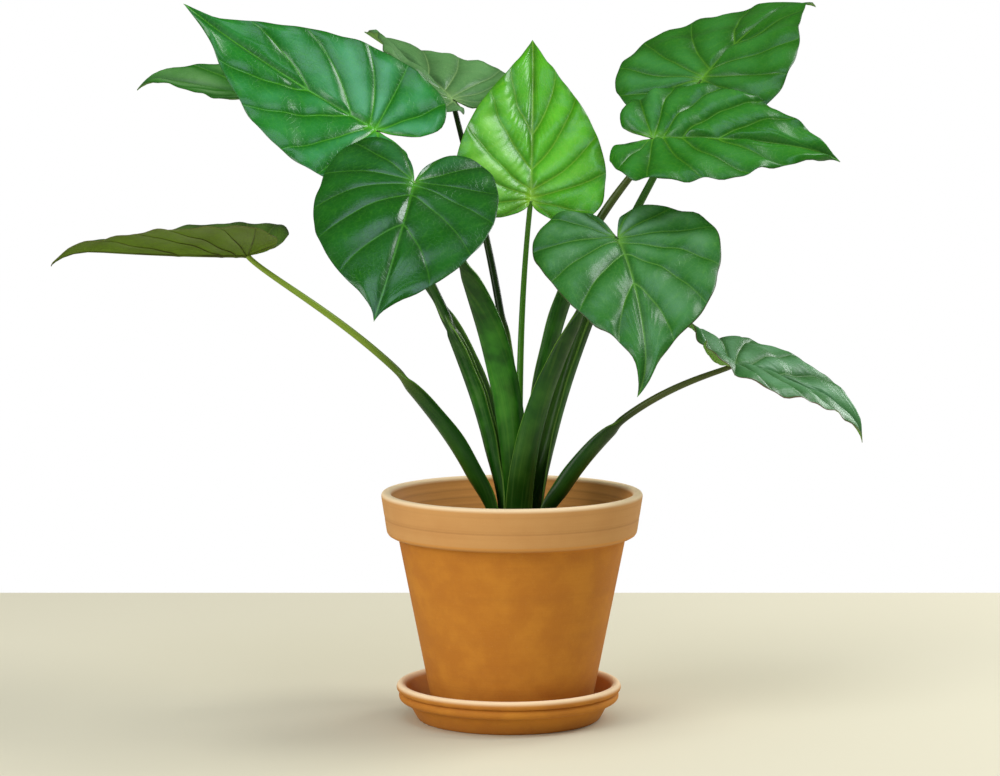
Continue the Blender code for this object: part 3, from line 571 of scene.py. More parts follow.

# in each leaf, sheen is the colour of a painted sheen, a pale reflection painted in panels between the veins;
# paintedSheenMost is its strength and panels its strength in each gap of each half
leaves = {
    "low_left": {
        "joint": (-0.215, -0.01, 0.226), "heading": 173, "pitch": -1, "roll": 2, "length": 0.164,
        "width": 0.123, "lobe": 0.03, "lobeSpread": 0.475, "belly": 0.05, "fullness": 1.1,
        "tipShare": 0.15, "lopsided": -0.04, "fold": (27, 29), "curl": (-6, -12), "droop": -5,
        "tipDroop": 48, "lobeLift": 7, "twist": 3, "wave": 0.001, "phase": 0.42, "blade": "#46671f",
        "vein": "#7f9a3c", "rim": "#5d4a22", "under": "#5b7906", "underVein": "#3d4408", "gloss": 0.25,
        "ruffle": 0.03, "puff": 0.9, "quilt": 1.0, "veinMost": 0.6, "paintedSheenMost": 0.3, "paintedSheen": "#8a9a4c",
        "panels": ((0.2, 0.2, 0.2, 0.2, 0.2, 0.2, 0.2), (0.2, 0.2, 0.2, 0.2, 0.2, 0.2, 0.2)),
        "deep": "#324a16",
    },
    "upper_left": {
        "joint": (-0.113, 0.014, 0.324), "heading": 163, "pitch": 27, "roll": -39, "length": 0.189,
        "width": 0.137, "lobe": 0.046, "lobeSpread": 0.45, "belly": 0.125, "fullness": 0.83,
        "tipShare": 0.155, "lopsided": 0.05, "fold": (10, 15), "curl": (-13, -5), "droop": -12,
        "tipDroop": -7, "lobeLift": 18, "twist": -9, "wave": 0.001, "phase": 0.65, "blade": "#147505",
        "vein": "#5ab521", "rim": "#2a5a20", "under": "#5f8f48", "underVein": "#86ab5c", "gloss": 0.8,
        "ruffle": 0.012, "puff": 1.1, "quilt": 0.5, "veinMost": 0.55, "paintedSheenMost": 0.55,
        "paintedSheen": "#58a884",
        "panels": ((0.1, 0.6, 0.9, 0.6, 0.2, 0.4, 0.1), (0.2, 0.7, 0.5, 0.9, 0.8, 0.5, 0.2)),
        "deep": "#0e5403",
    },
    "back_left": {
        "joint": (-0.177, 0.075, 0.342), "heading": 158, "pitch": 9, "roll": -16, "length": 0.155,
        "width": 0.122, "lobe": 0.036, "lobeSpread": 0.42, "belly": 0.01, "fullness": 0.84,
        "tipShare": 0.11, "lopsided": -0.07, "fold": (14, 27), "curl": (4, -34), "droop": 0,
        "tipDroop": 48, "lobeLift": -7, "twist": -6, "wave": 0.003, "phase": 0.0, "blade": "#216d06",
        "vein": "#5e9e2d", "rim": "#35521f", "under": "#5a8a3a", "underVein": "#7d9c54", "gloss": 0.2,
        "ruffle": 0.02, "puff": 0.8, "quilt": 0.6, "veinMost": 0.5, "paintedSheenMost": 0.75,
        "paintedSheen": "#86a878",
        "panels": ((0.5, 0.5, 0.5, 0.5, 0.5, 0.5, 0.5), (0.5, 0.5, 0.5, 0.5, 0.5, 0.5, 0.5)),
        "deep": "#174e04",
    },
    "back_center": {
        "joint": (-0.053, 0.102, 0.346), "heading": 131, "pitch": 31, "roll": 3, "length": 0.127,
        "width": 0.142, "lobe": 0.039, "lobeSpread": 0.44, "belly": 0.06, "fullness": 1.0,
        "tipShare": 0.12, "lopsided": 0.02, "fold": (10, 22), "curl": (14, -5), "droop": 12,
        "tipDroop": -3, "lobeLift": 20, "twist": 24, "wave": 0.002, "phase": 0.17, "blade": "#518643",
        "vein": "#90b66d", "rim": "#3a5a2c", "under": "#5a8a3a", "underVein": "#7d9c54", "gloss": 0.25,
        "ruffle": 0.02, "puff": 1.4, "quilt": 1.2, "veinMost": 0.55, "paintedSheenMost": 0.3,
        "paintedSheen": "#7fa080",
        "panels": ((0.5, 0.5, 0.5, 0.5, 0.5, 0.5, 0.5), (0.4, 0.4, 0.4, 0.4, 0.4, 0.4, 0.4)),
        "deep": "#3a6030",
    },
    "front_left": {
        "joint": (-0.081, -0.068, 0.287), "heading": -100, "pitch": -36, "roll": -27, "length": 0.143,
        "width": 0.146, "lobe": 0.043, "lobeSpread": 0.48, "belly": 0.18, "fullness": 1.13,
        "tipShare": 0.14, "lopsided": -0.06, "fold": (9, -9), "curl": (9, -35), "droop": 20,
        "tipDroop": 1, "lobeLift": 5, "twist": 9, "wave": 0.001, "phase": -0.06, "blade": "#145a06",
        "vein": "#4f9b22", "rim": "#1f4a1a", "under": "#5d8a4a", "underVein": "#86ab5c", "gloss": 0.85,
        "ruffle": 0.015, "puff": 0.7, "quilt": 0.6, "veinMost": 0.45, "paintedSheenMost": 0.3,
        "paintedSheen": "#3f7a5c",
        "panels": ((0.9, 0.8, 0.3, 0.1, 0.1, 0.0, 0.0), (0.9, 0.7, 0.8, 0.2, 0.1, 0.1, 0.0)),
        "deep": "#0e4004",
    },
    "center_new": {
        "joint": (0.01, 0.01, 0.268), "heading": 87, "pitch": 60, "roll": 8, "length": 0.162,
        "width": 0.126, "lobe": 0.021, "lobeSpread": 0.51, "belly": 0.1, "fullness": 0.91,
        "tipShare": 0.15, "lopsided": 0.03, "fold": (17, 9), "curl": (-2, 11), "droop": 11,
        "tipDroop": 24, "lobeLift": -2, "twist": -1, "wave": 0.0, "phase": 0.0, "blade": "#49aa02",
        "vein": "#9bd239", "rim": "#3f7a14", "under": "#7ab83e", "underVein": "#a5d25e", "gloss": 0.5,
        "ruffle": 0.02, "puff": 1.3, "quilt": 2.6, "veinMost": 0.35, "paintedSheenMost": 0.35,
        "paintedSheen": "#bdee7a",
        "panels": ((0.5, 0.9, 0.8, 0.9, 0.6, 0.3, 0.1), (0.0, 0.1, 0.1, 0.4, 0.3, 0.2, 0.1)),
        "deep": "#2d6901",
    },
    "back_right": {
        "joint": (0.149, 0.07, 0.363), "heading": 43, "pitch": 40, "roll": -1, "length": 0.153,
        "width": 0.154, "lobe": 0.057, "lobeSpread": 0.41, "belly": 0.07, "fullness": 0.98,
        "tipShare": 0.11, "lopsided": 0.01, "fold": (18, -1), "curl": (-3, -25), "droop": 27,
        "tipDroop": 31, "lobeLift": 7, "twist": -15, "wave": 0.0, "phase": 0.0, "blade": "#267007",
        "vein": "#619d27", "rim": "#2a5020", "under": "#5a8a40", "underVein": "#7d9c54", "gloss": 0.4,
        "ruffle": 0.02, "puff": 1.5, "quilt": 0.6, "veinMost": 0.5, "paintedSheenMost": 0.35,
        "paintedSheen": "#5c9878",
        "panels": ((0.5, 0.9, 0.7, 0.4, 0.3, 0.3, 0.2), (0.2, 0.3, 0.2, 0.3, 0.3, 0.2, 0.1)),
        "deep": "#1b5005",
    },
    "upper_right": {
        "joint": (0.107, 0.0, 0.318), "heading": -16, "pitch": 3, "roll": 43, "length": 0.152,
        "width": 0.13, "lobe": 0.031, "lobeSpread": 0.41, "belly": 0.14, "fullness": 0.98,
        "tipShare": 0.12, "lopsided": 0.0, "fold": (9, 17), "curl": (-29, -6), "droop": 22,
        "tipDroop": 24, "lobeLift": 6, "twist": 7, "wave": 0.002, "phase": 0.84, "blade": "#227303",
        "vein": "#68ab24", "rim": "#2d5220", "under": "#5a8a40", "underVein": "#7d9c54", "gloss": 0.45,
        "ruffle": 0.04, "puff": 2.0, "quilt": 1.3, "veinMost": 0.45, "paintedSheenMost": 0.35,
        "paintedSheen": "#5f9c6c",
        "panels": ((0.7, 0.6, 0.8, 0.5, 0.6, 0.4, 0.2), (0.5, 0.3, 0.4, 0.3, 0.4, 0.3, 0.1)),
        "deep": "#185202",
    },
    "front_right": {
        "joint": (0.077, -0.058, 0.243), "heading": -74, "pitch": -30, "roll": -15, "length": 0.16,
        "width": 0.149, "lobe": 0.037, "lobeSpread": 0.4, "belly": 0.115, "fullness": 0.85,
        "tipShare": 0.19, "lopsided": 0.05, "fold": (22, -12), "curl": (4, -24), "droop": 31,
        "tipDroop": 60, "lobeLift": 4, "twist": 3, "wave": 0.0, "phase": 0.0, "blade": "#267014",
        "vein": "#6ca63e", "rim": "#3c3a20", "under": "#5d8a4a", "underVein": "#86ab5c", "gloss": 0.35,
        "ruffle": 0.035, "puff": 1.2, "quilt": 1.3, "veinMost": 0.5, "paintedSheenMost": 0.6,
        "paintedSheen": "#86a898",
        "panels": ((0.8, 0.9, 0.6, 0.4, 0.3, 0.3, 0.3), (0.8, 0.9, 0.5, 0.4, 0.3, 0.2, 0.1)),
        "deep": "#1b500e",
    },
    "low_right": {
        "joint": (0.169, -0.02, 0.139), "heading": 5, "pitch": -11, "roll": 11, "length": 0.131,
        "width": 0.135, "lobe": 0.043, "lobeSpread": 0.53, "belly": 0.08, "fullness": 1.12,
        "tipShare": 0.13, "lopsided": -0.03, "fold": (21, 18), "curl": (-40, -21), "droop": 34,
        "tipDroop": 28, "lobeLift": 45, "twist": 14, "wave": 0.002, "phase": 0.07, "blade": "#3e7e37",
        "vein": "#77a360", "rim": "#6b4a40", "under": "#5c9a2e", "underVein": "#7fa050", "gloss": 0.2,
        "ruffle": 0.03, "puff": 1.6, "quilt": 2.0, "veinMost": 0.45, "paintedSheenMost": 0.5,
        "paintedSheen": "#8ab09c",
        "panels": ((0.6, 0.6, 0.6, 0.6, 0.6, 0.6, 0.6), (0.6, 0.6, 0.6, 0.6, 0.6, 0.6, 0.6)),
        "deep": "#2c5a27",
    },
}


def smoothCurve(points, count):
    # a curve through all the points, without corners
    points = np.asarray(points, float)
    steps = np.linalg.norm(np.diff(points, axis=0), axis=1) ** 0.5
    knots = np.concatenate([[0.0], np.cumsum(steps)])
    slopes = np.empty_like(points)
    before = (points[1:-1] - points[:-2]) / steps[:-1, None]
    after = (points[2:] - points[1:-1]) / steps[1:, None]
    both = (steps[1:] + steps[:-1])[:, None]
    slopes[1:-1] = (after * steps[:-1, None] + before * steps[1:, None]) / both
    slopes[0] = (points[1] - points[0]) / steps[0]
    slopes[-1] = (points[-1] - points[-2]) / steps[-1]
    where = np.linspace(0.0, knots[-1], count)
    piece = np.clip(np.searchsorted(knots, where, side="right") - 1, 0, len(points) - 2)
    width = steps[piece][:, None]
    share = ((where - knots[piece])[:, None]) / width
    return (
        (2 * share**3 - 3 * share**2 + 1) * points[piece]
        + (share**3 - 2 * share**2 + share) * width * slopes[piece]
        + (3 * share**2 - 2 * share**3) * points[piece + 1]
        + (share**3 - share**2) * width * slopes[piece + 1]
    )


def halfMargin(leaf, shares):
    # points of one half's flat margin at shares of its length, from the notch round the lobe to the tip
    length, half, lobe = leaf["length"], leaf["width"] / 2, leaf["lobe"]
    spread, belly, full, tip = leaf["lobeSpread"], leaf["belly"], leaf["fullness"], leaf["tipShare"]
    outline = [
        (0.0, 0.0), (-0.35 * lobe, 0.05 * half), (-0.82 * lobe, (spread - 0.25) * half),
        (-1.00 * lobe, spread * half), (-0.80 * lobe, (spread + 0.30) * half), (-0.25 * lobe, 0.95 * half),
        (belly * length, half), ((belly + 0.27) * length, (0.80 + 0.06 * full) * half),
        ((belly + 0.50) * length, (0.40 + 0.16 * full) * half), ((1.0 - tip) * length, 0.17 * full * half),
        ((1.0 - 0.45 * tip) * length, 0.055 * half), (length, 0.0),
    ]
    dense = smoothCurve(outline, 1201)
    run = np.concatenate([[0.0], np.cumsum(np.linalg.norm(np.diff(dense, axis=0), axis=1))])
    run /= run[-1]
    return np.stack([np.interp(shares, run, dense[:, 0]), np.interp(shares, run, dense[:, 1])], axis=-1)


def bendBlade(leaf, x, y, left):
    # flat blade points to the curved blade, in the leaf's own axes; left says which half a point is on
    length, half = leaf["length"], leaf["width"] / 2
    y = y * np.where(left, 1 + leaf["lopsided"], 1 - leaf["lopsided"])
    fold = np.radians(np.where(left, leaf["fold"][0], leaf["fold"][1]))
    curl = np.radians(np.where(left, leaf["curl"][0], leaf["curl"][1]))
    out = np.abs(y) / half
    across = half / curl * (np.sin(fold + curl * out) - np.sin(fold)) * np.where(left, 1, -1)
    rise = half / curl * (np.cos(fold) - np.cos(fold + curl * out))
    waves = bladeForm["marginWaves"] * x / length
    ripple = np.sin(2 * np.pi * (waves + leaf["phase"] + np.where(left, 0.0, 0.31)))
    rise = rise + leaf["wave"] * np.minimum(out, 1.1) ** 2 * ripple
    turn = np.radians(leaf["twist"]) * x / length
    across, rise = across * np.cos(turn) - rise * np.sin(turn), across * np.sin(turn) + rise * np.cos(turn)
    share = np.linspace(-0.5, 1.0, 301)
    slope = -np.radians(leaf["droop"]) * np.clip(share, 0, 1)
    slope = slope - np.radians(leaf["tipDroop"]) * np.clip((share - 0.72) / 0.28, 0, 1) ** 1.5
    slope = np.where(share < 0, -np.radians(leaf["lobeLift"]) * np.clip(-share / 0.3, 0, 1.2), slope)
    step = share[1] - share[0]
    along = np.concatenate([[0.0], np.cumsum((np.cos(slope[1:]) + np.cos(slope[:-1])) / 2 * step)])
    up = np.concatenate([[0.0], np.cumsum((np.sin(slope[1:]) + np.sin(slope[:-1])) / 2 * step)])
    ribX = (np.interp(x / length, share, along) - np.interp(0.0, share, along)) * length
    ribZ = (np.interp(x / length, share, up) - np.interp(0.0, share, up)) * length
    lean = np.interp(x / length, share, slope)
    return np.stack([ribX - rise * np.sin(lean), across, ribZ + rise * np.cos(lean)], axis=-1)


def bladeNormal(leaf, x, y, left):
    step = 4e-4
    alongX = bendBlade(leaf, x + step, y, left) - bendBlade(leaf, x - step, y, left)
    shift = np.where(left, step, -step)
    outward = np.where(left, 1, -1)[..., None]
    alongY = (bendBlade(leaf, x, y + shift, left) - bendBlade(leaf, x, y, left)) * outward
    normal = np.cross(alongX, alongY)
    return normal / np.maximum(np.linalg.norm(normal, axis=-1), 1e-12)[..., None]


def leafAxes(leaf):
    heading, pitch, roll = (math.radians(leaf[key]) for key in ("heading", "pitch", "roll"))
    flat = np.array([math.cos(heading), math.sin(heading), 0.0])
    rib = flat * math.cos(pitch) + np.array([0.0, 0.0, math.sin(pitch)])
    levelLeft = np.array([-math.sin(heading), math.cos(heading), 0.0])
    left = levelLeft * math.cos(roll) + np.cross(rib, levelLeft) * math.sin(roll)
    return np.stack([rib, left, np.cross(rib, left)])


def rayPoints(leaf, shares, rings, phases):
    # flat points along rays that leave the midrib as veins do and bend forward to the margin
    margin = halfMargin(leaf, shares)
    length = leaf["length"]
    forward = np.clip(margin[:, 0] / length, 0, 1)
    root = np.stack([length * forward * (0.13 + 0.87 * forward**3), np.zeros(len(forward))], axis=-1)
    nibble = 0.55 + 0.30 * np.sin(25 * shares + phases[6]) + 0.15 * np.sin(58 * shares + phases[7])
    nibble = leaf["ruffle"] * nibble * np.clip((1 - shares) / 0.1, 0, 1)
    margin = root + (margin - root) * (1 - nibble)[:, None]
    chord = margin - root
    size = np.linalg.norm(chord, axis=1)[:, None]
    outward = np.stack([-chord[:, 1], chord[:, 0]], axis=-1) / np.maximum(size, 1e-9)
    bulge = 0.13 * np.clip(forward / 0.25, 0.25, 1.0) * np.clip((1 - forward) / 0.15, 0, 1)
    middle = root + 0.5 * chord + outward * size * bulge[:, None]
    r = np.asarray(rings)[None, :, None]
    return (1 - r) ** 2 * root[:, None] + 2 * (1 - r) * r * middle[:, None] + r**2 * margin[:, None]


def leafGrid(shares):
    # stations crowd towards each vein, rings crowd towards the midrib and the margin
    stations = [bladeForm["firstRay"]]
    for low, high in zip(shares[:-1], shares[1:]):
        t = np.arange(1, bladeForm["raysPerGap"] + 1) / bladeForm["raysPerGap"]
        t = t - 0.13 * np.sin(2 * np.pi * t)
        stations += list(low + (high - low) * t)
    t = np.linspace(0, 1, bladeForm["rings"])
    rings = np.concatenate([(0.35 * t + 0.65 * t**1.6) * 0.975, [0.985, 0.993, 0.998, 1.0]])
    return np.array(stations), rings


def leafMaterial(name, look):
    # waxy aroid leaf: satin above with paler sunken veins, duller and paler underneath with raised ones;
    # above, painted shade darkens the valleys along the veins and a painted sheen lies in panels between them
    made, tree = newMaterial("waxy leaf " + name)
    flat = (addNode(tree, "ShaderNodeAttribute", {"attribute_name": "flat"}), "Vector")
    vein, hair, under, edge, panel, heart, ridge = (
        (addNode(tree, "ShaderNodeAttribute", {"attribute_name": key}), "Fac")
        for key in ("vein", "veinlet", "under", "edge", "panel", "heart", "ridge"))
    tone = addNode(tree, "ShaderNodeTexNoise", inputs={
        "Vector": flat, "Scale": 1000 / bladeForm["toneMm"], "Detail": 4.0, "Roughness": 0.55})
    cells = addNode(tree, "ShaderNodeTexVoronoi", {"feature": "DISTANCE_TO_EDGE"}, {
        "Vector": flat, "Scale": 1000 / bladeForm["netMm"]})
    fine = addNode(tree, "ShaderNodeTexNoise", inputs={
        "Vector": flat, "Scale": 1000 / bladeForm["fineMm"], "Detail": 2.0})
    net = addNode(tree, "ShaderNodeMapRange", smooth, {0: (cells, "Distance"), 2: 0.09, 3: 1.0, 4: 0.0})
    satin = 0.46 - 0.18 * look["gloss"]
    swell, paintedLightCloud, blotch, patchy = (
        addNode(tree, "ShaderNodeMapRange", smooth, {0: tone, 1: low, 2: high, 3: least, 4: most})
        for low, high, least, most in (
            (0.3, 0.7, 0.0, 0.35), (0.25, 0.65, 0.25, 1.0), (0.35, 0.7, 0.0, 0.3),
            (0.3, 0.75, satin - 0.05, satin + 0.08)))
    # painted shade and light: the top starts from the darker deep colour, painted shade in the valleys along
    # the veins, and turns to the blade colour on the swellings between them, painted light; swell adds tone
    # that varies at random
    raised = addNode(tree, "ShaderNodeMath", timesPlus, {0: ridge, 1: 0.65, 2: swell})
    # painted sheen: the panels, broken up by noise, lay the pale sheen colour over the top as a painted
    # reflection
    paintedSheenShare = addNode(tree, "ShaderNodeMath", times, {0: panel, 1: paintedLightCloud})

    top, below = look["deep"], look["under"]
    for source, most, paint in (
            (raised, 1.0, "blade"), (paintedSheenShare, look["paintedSheenMost"], "paintedSheen"), (net, 0.08, "vein"),
            (hair, 0.16, "vein"), (vein, look["veinMost"], "vein"), (heart, 0.6, "vein")):
        share = addNode(tree, "ShaderNodeMath", times, {0: source, 1: most})
        top = (addNode(tree, "ShaderNodeMix", coat, {0: share, 6: top, 7: look[paint]}), 2)
    for source, most in ((net, 0.2), (blotch, 1.0), (hair, 0.3), (vein, 0.85)):
        share = addNode(tree, "ShaderNodeMath", times, {0: source, 1: most})
        below = (addNode(tree, "ShaderNodeMix", coat, {0: share, 6: below, 7: look["underVein"]}), 2)
    colour = (addNode(tree, "ShaderNodeMix", coat, {0: under, 6: top, 7: below}), 2)
    share = addNode(tree, "ShaderNodeMath", times, {0: edge, 1: 0.75})
    colour = (addNode(tree, "ShaderNodeMix", coat, {0: share, 6: colour, 7: look["rim"]}), 2)

    rough = addNode(tree, "ShaderNodeMix", inputs={0: under, 2: patchy, 3: 0.62})
    grain = addNode(tree, "ShaderNodeMath", times, {0: fine, 1: 0.12})
    relief = addNode(tree, "ShaderNodeMath", timesPlus, {0: net, 1: -0.5, 2: grain})
    bump = addNode(tree, "ShaderNodeBump", inputs={"Strength": 0.4, "Distance": 0.0003, "Height": relief})
    shader = addNode(tree, "ShaderNodeBsdfPrincipled", inputs={
        "Base Color": colour, "Roughness": rough, "Normal": bump, "IOR": 1.45,
        "Specular IOR Level": 0.3 + 0.2 * look["gloss"], "Specular Tint": "#cfe9f2",
        "Coat Weight": 0.4 * look["gloss"], "Coat Roughness": 0.2})
    addNode(tree, "ShaderNodeOutputMaterial", inputs={"Surface": shader})
    return made


def ribMaterial(name, look):
    # the underside's ribs: paler and duller than the blade, with a little mottling
    made, tree = newMaterial("leaf rib " + name)
    where = (addNode(tree, "ShaderNodeTexCoord"), "Object")
    tone = addNode(tree, "ShaderNodeTexNoise", inputs={
        "Vector": where, "Scale": 1000 / bladeForm["ribToneMm"], "Detail": 3.0})
    share, rough = (
        addNode(tree, "ShaderNodeMapRange", smooth, {0: tone, 1: 0.3, 2: 0.7, 3: least, 4: most})
        for least, most in ((0.0, 0.5), (0.5, 0.65)))
    colour = (addNode(tree, "ShaderNodeMix", coat, {0: share, 6: look["underVein"], 7: look["under"]}), 2)
    shader = addNode(tree, "ShaderNodeBsdfPrincipled", inputs={
        "Base Color": colour, "Roughness": rough, "IOR": 1.45, "Specular IOR Level": 0.3})
    addNode(tree, "ShaderNodeOutputMaterial", inputs={"Surface": shader})
    return made


def acrossLine(offset, along):
    # distance square to a line that runs along the given directions
    area = offset[..., 0] * along[..., 1] - offset[..., 1] * along[..., 0]
    return np.abs(area) / np.maximum(np.linalg.norm(along, axis=-1), 1e-9)


def leafPattern(leaf, seed):
    # the flat half blade's grid, and on it the veins, the veinlets and the swellings between them
    form = bladeForm
    noise = np.random.default_rng(seed)
    shares = np.array(veinShares)
    shares[1:-1] += noise.uniform(-0.018, 0.018, len(shares) - 2)
    phases = noise.uniform(0, 2 * np.pi, 12)
    stations, rings = leafGrid(shares)
    gap = np.clip(np.searchsorted(shares, stations, side="right") - 1, 0, len(shares) - 2)
    inGap = (stations - shares[gap]) / (shares[gap + 1] - shares[gap])
    flat = rayPoints(leaf, stations, rings, phases)
    veins = rayPoints(leaf, np.clip(shares, form["firstRay"], 1.0), rings, phases)
    runs = np.gradient(veins, axis=1)
    toLow = acrossLine(flat - veins[gap], runs[gap])
    toHigh = acrossLine(flat - veins[gap + 1], runs[gap + 1])
    toLow[gap == 0] = 1.0  # the notch edge and the tip aren't veins
    toHigh[gap == len(shares) - 2] = 1.0
    toVein = np.minimum(toLow, toHigh)
    gapWidth = acrossLine(veins[gap + 1] - veins[gap], runs[gap])
    along = rings[None, :] * np.linalg.norm(flat[:, -1] - flat[:, 0], axis=1)[:, None]
    fromRib = np.abs(flat[..., 1])
    forward = np.clip(flat[..., 0] / leaf["length"], 0, 1)
    ribSize = 1 - 0.85 * forward
    fade = np.clip((1 - rings[None, :]) / 0.12, 0, 1) ** 0.7
    taper = 1 - 0.75 * rings[None, :]
    roomy = np.clip(gapWidth / 0.012, 0, 1)
    between = np.sin(np.pi * inGap)[:, None]
    apart = blend(0, 0.006, fromRib)

    ribLine = bell(fromRib, 0.0004 + 0.0007 * ribSize)
    wideRib = bell(fromRib, 0.0022) * ribSize
    veinLine = bell(toVein, 0.0003 + 0.00042 * taper) * (0.35 + 0.65 * taper)
    skew = along / 0.0075 + inGap[:, None] * 1.7 + 0.8 * np.sin(along / 0.011 + phases[0])
    zigzag = np.abs(np.sin(np.pi * skew))
    crossing = bell(zigzag, 0.16) * between**0.5 * roomy
    puff = between**0.8 * np.clip(gapWidth / 0.022, 0, 1.2) * fade * apart * form["puff"] * leaf["puff"]
    quilt = bell(zigzag, 0.45) * between * roomy * fade * apart * form["quilt"] * leaf["quilt"]
    middleOut = np.clip(rings / 0.15, 0, 1) * np.clip((1 - rings) / 0.2, 0, 1)
    return SimpleNamespace(
        stations=stations, rings=rings, flat=flat, phases=phases, forward=forward, fade=fade, apart=apart,
        swelling=puff - quilt,
        sunk=form["veinSunk"] * bell(toVein, 0.0013) * taper + form["ribSunk"] * wideRib,
        raised=form["veinRaised"] * bell(toVein, 0.0014) * taper + form["ribRaised"] * wideRib,
        # panels: where the painted sheen lies, in the middle of each gap between veins, away from the midrib
        # and the margin
        panels=[between**1.5 * middleOut[None, :] * np.array(lift)[gap][:, None] for lift in leaf["panels"]],
        drawn={
            "vein": np.maximum(veinLine, ribLine),
            "veinlet": np.maximum(crossing * 0.8, bell(inGap[:, None] - 0.5, 0.035) * roomy),
            "edge": np.clip((rings - 0.985) / 0.01, 0, 1)[None, :] * np.ones((len(stations), 1)),
            # ridge: the swellings between the veins, which are painted lighter than the painted shade of the
            # valleys
            "ridge": between**0.8 * apart * fade * np.clip(gapWidth / 0.014, 0, 1),
        })


def halfBlade(leaf, grid, half):
    # the upper and lower sheet of one half, in the leaf's own axes; half is 0 on the left and 1 on the right
    left = half == 0
    x, y = grid.flat[..., 0], grid.flat[..., 1] * (1.0 if left else -1.0)
    isLeft = np.full(x.shape, left)
    phases, stations, rings = grid.phases, grid.stations, grid.rings
    roll = np.sin(x / 0.010 + phases[1 + half]) * np.sin(y / 0.009 + phases[3])
    roll = roll + 0.5 * np.sin(x / 0.0055 + y / 0.007 + phases[4 + half])
    roll = roll * bladeForm["roll"] * leaf["puff"] * grid.apart * grid.fade
    middle = bendBlade(leaf, x, y, isLeft)
    normal = bladeNormal(leaf, x, y, isLeft)
    flutter = np.sin(42 * stations + phases[8 + half]) + 0.6 * np.sin(75 * stations + phases[10 + half])
    flutter = flutter * bladeForm["flutter"] * leaf["puff"]
    flutter = flutter * np.clip((1 - stations) / 0.15, 0, 1) * np.clip(stations / 0.1, 0, 1)
    middle = middle + normal * (flutter[:, None] * rings[None, :] ** 5)[..., None]
    seam = normal[:, :1] + bladeNormal(leaf, x[:, :1], np.zeros_like(y[:, :1]), ~isLeft[:, :1])
    normal[:, :1] = seam / np.linalg.norm(seam, axis=-1)[..., None]
    rounding = np.sqrt(np.clip(1 - (np.clip(rings - 0.975, 0, 1) / 0.025) ** 2, 0, 1))
    thick = np.broadcast_to(bladeForm["thickness"] / 2 * rounding[None, :], x.shape).copy()
    thick[0] = 0.0
    swelling = grid.swelling + roll
    top = middle + normal * (thick + (swelling - grid.sunk) * (thick > 0))[..., None]
    low = middle + normal * (-thick + (swelling - grid.raised) * (thick > 0))[..., None]
    return SimpleNamespace(left=left, x=x, y=y, top=top, low=low, normal=normal)


def ribTree():
    # a round rib that follows each line and takes its thickness from the line's own width
    tree, start = newTree("leaf ribs", {
        "Sides": ("NodeSocketInt", 8), "Fullness": ("NodeSocketFloat", 1.0),
        "Skin": ("NodeSocketMaterial", None)})
    line = addNode(tree, "GeometryNodeMeshToCurve", inputs={0: start})
    width = addNode(tree, "GeometryNodeInputNamedAttribute", {"data_type": "FLOAT"}, {"Name": "width"})
    size = addNode(tree, "ShaderNodeMath", times, {0: width, 1: (start, "Fullness")})
    ring = addNode(tree, "GeometryNodeCurvePrimitiveCircle", inputs={
        "Radius": 1.0, "Resolution": (start, "Sides")})
    ribs = addNode(tree, "GeometryNodeCurveToMesh", inputs={
        "Curve": line, "Profile Curve": ring, "Scale": size, "Fill Caps": True})
    return endTree(tree, ribs, (start, "Skin"))


def makeRibs(name, leaf, lines):
    points, edges, widths = [], [], []
    for line, width in lines:
        edges += [(len(points) + i, len(points) + i + 1) for i in range(len(line) - 1)]
        points += line.tolist()
        widths += list(width)
    mesh = bpy.data.meshes.new("ribs_" + name)
    mesh.from_pydata(points, edges, [])
    mesh.attributes.new("width", "FLOAT", "POINT").data.foreach_set("value", np.array(widths, np.float32))
    piece = placed("ribs_" + name, mesh)
    grown(piece, ribTree(), {"Sides": 8, "Fullness": 1.0, "Skin": ribMaterial(name, leaf)})
    piece.data.shade_smooth()
    settle(piece, finish="leaf_" + name)


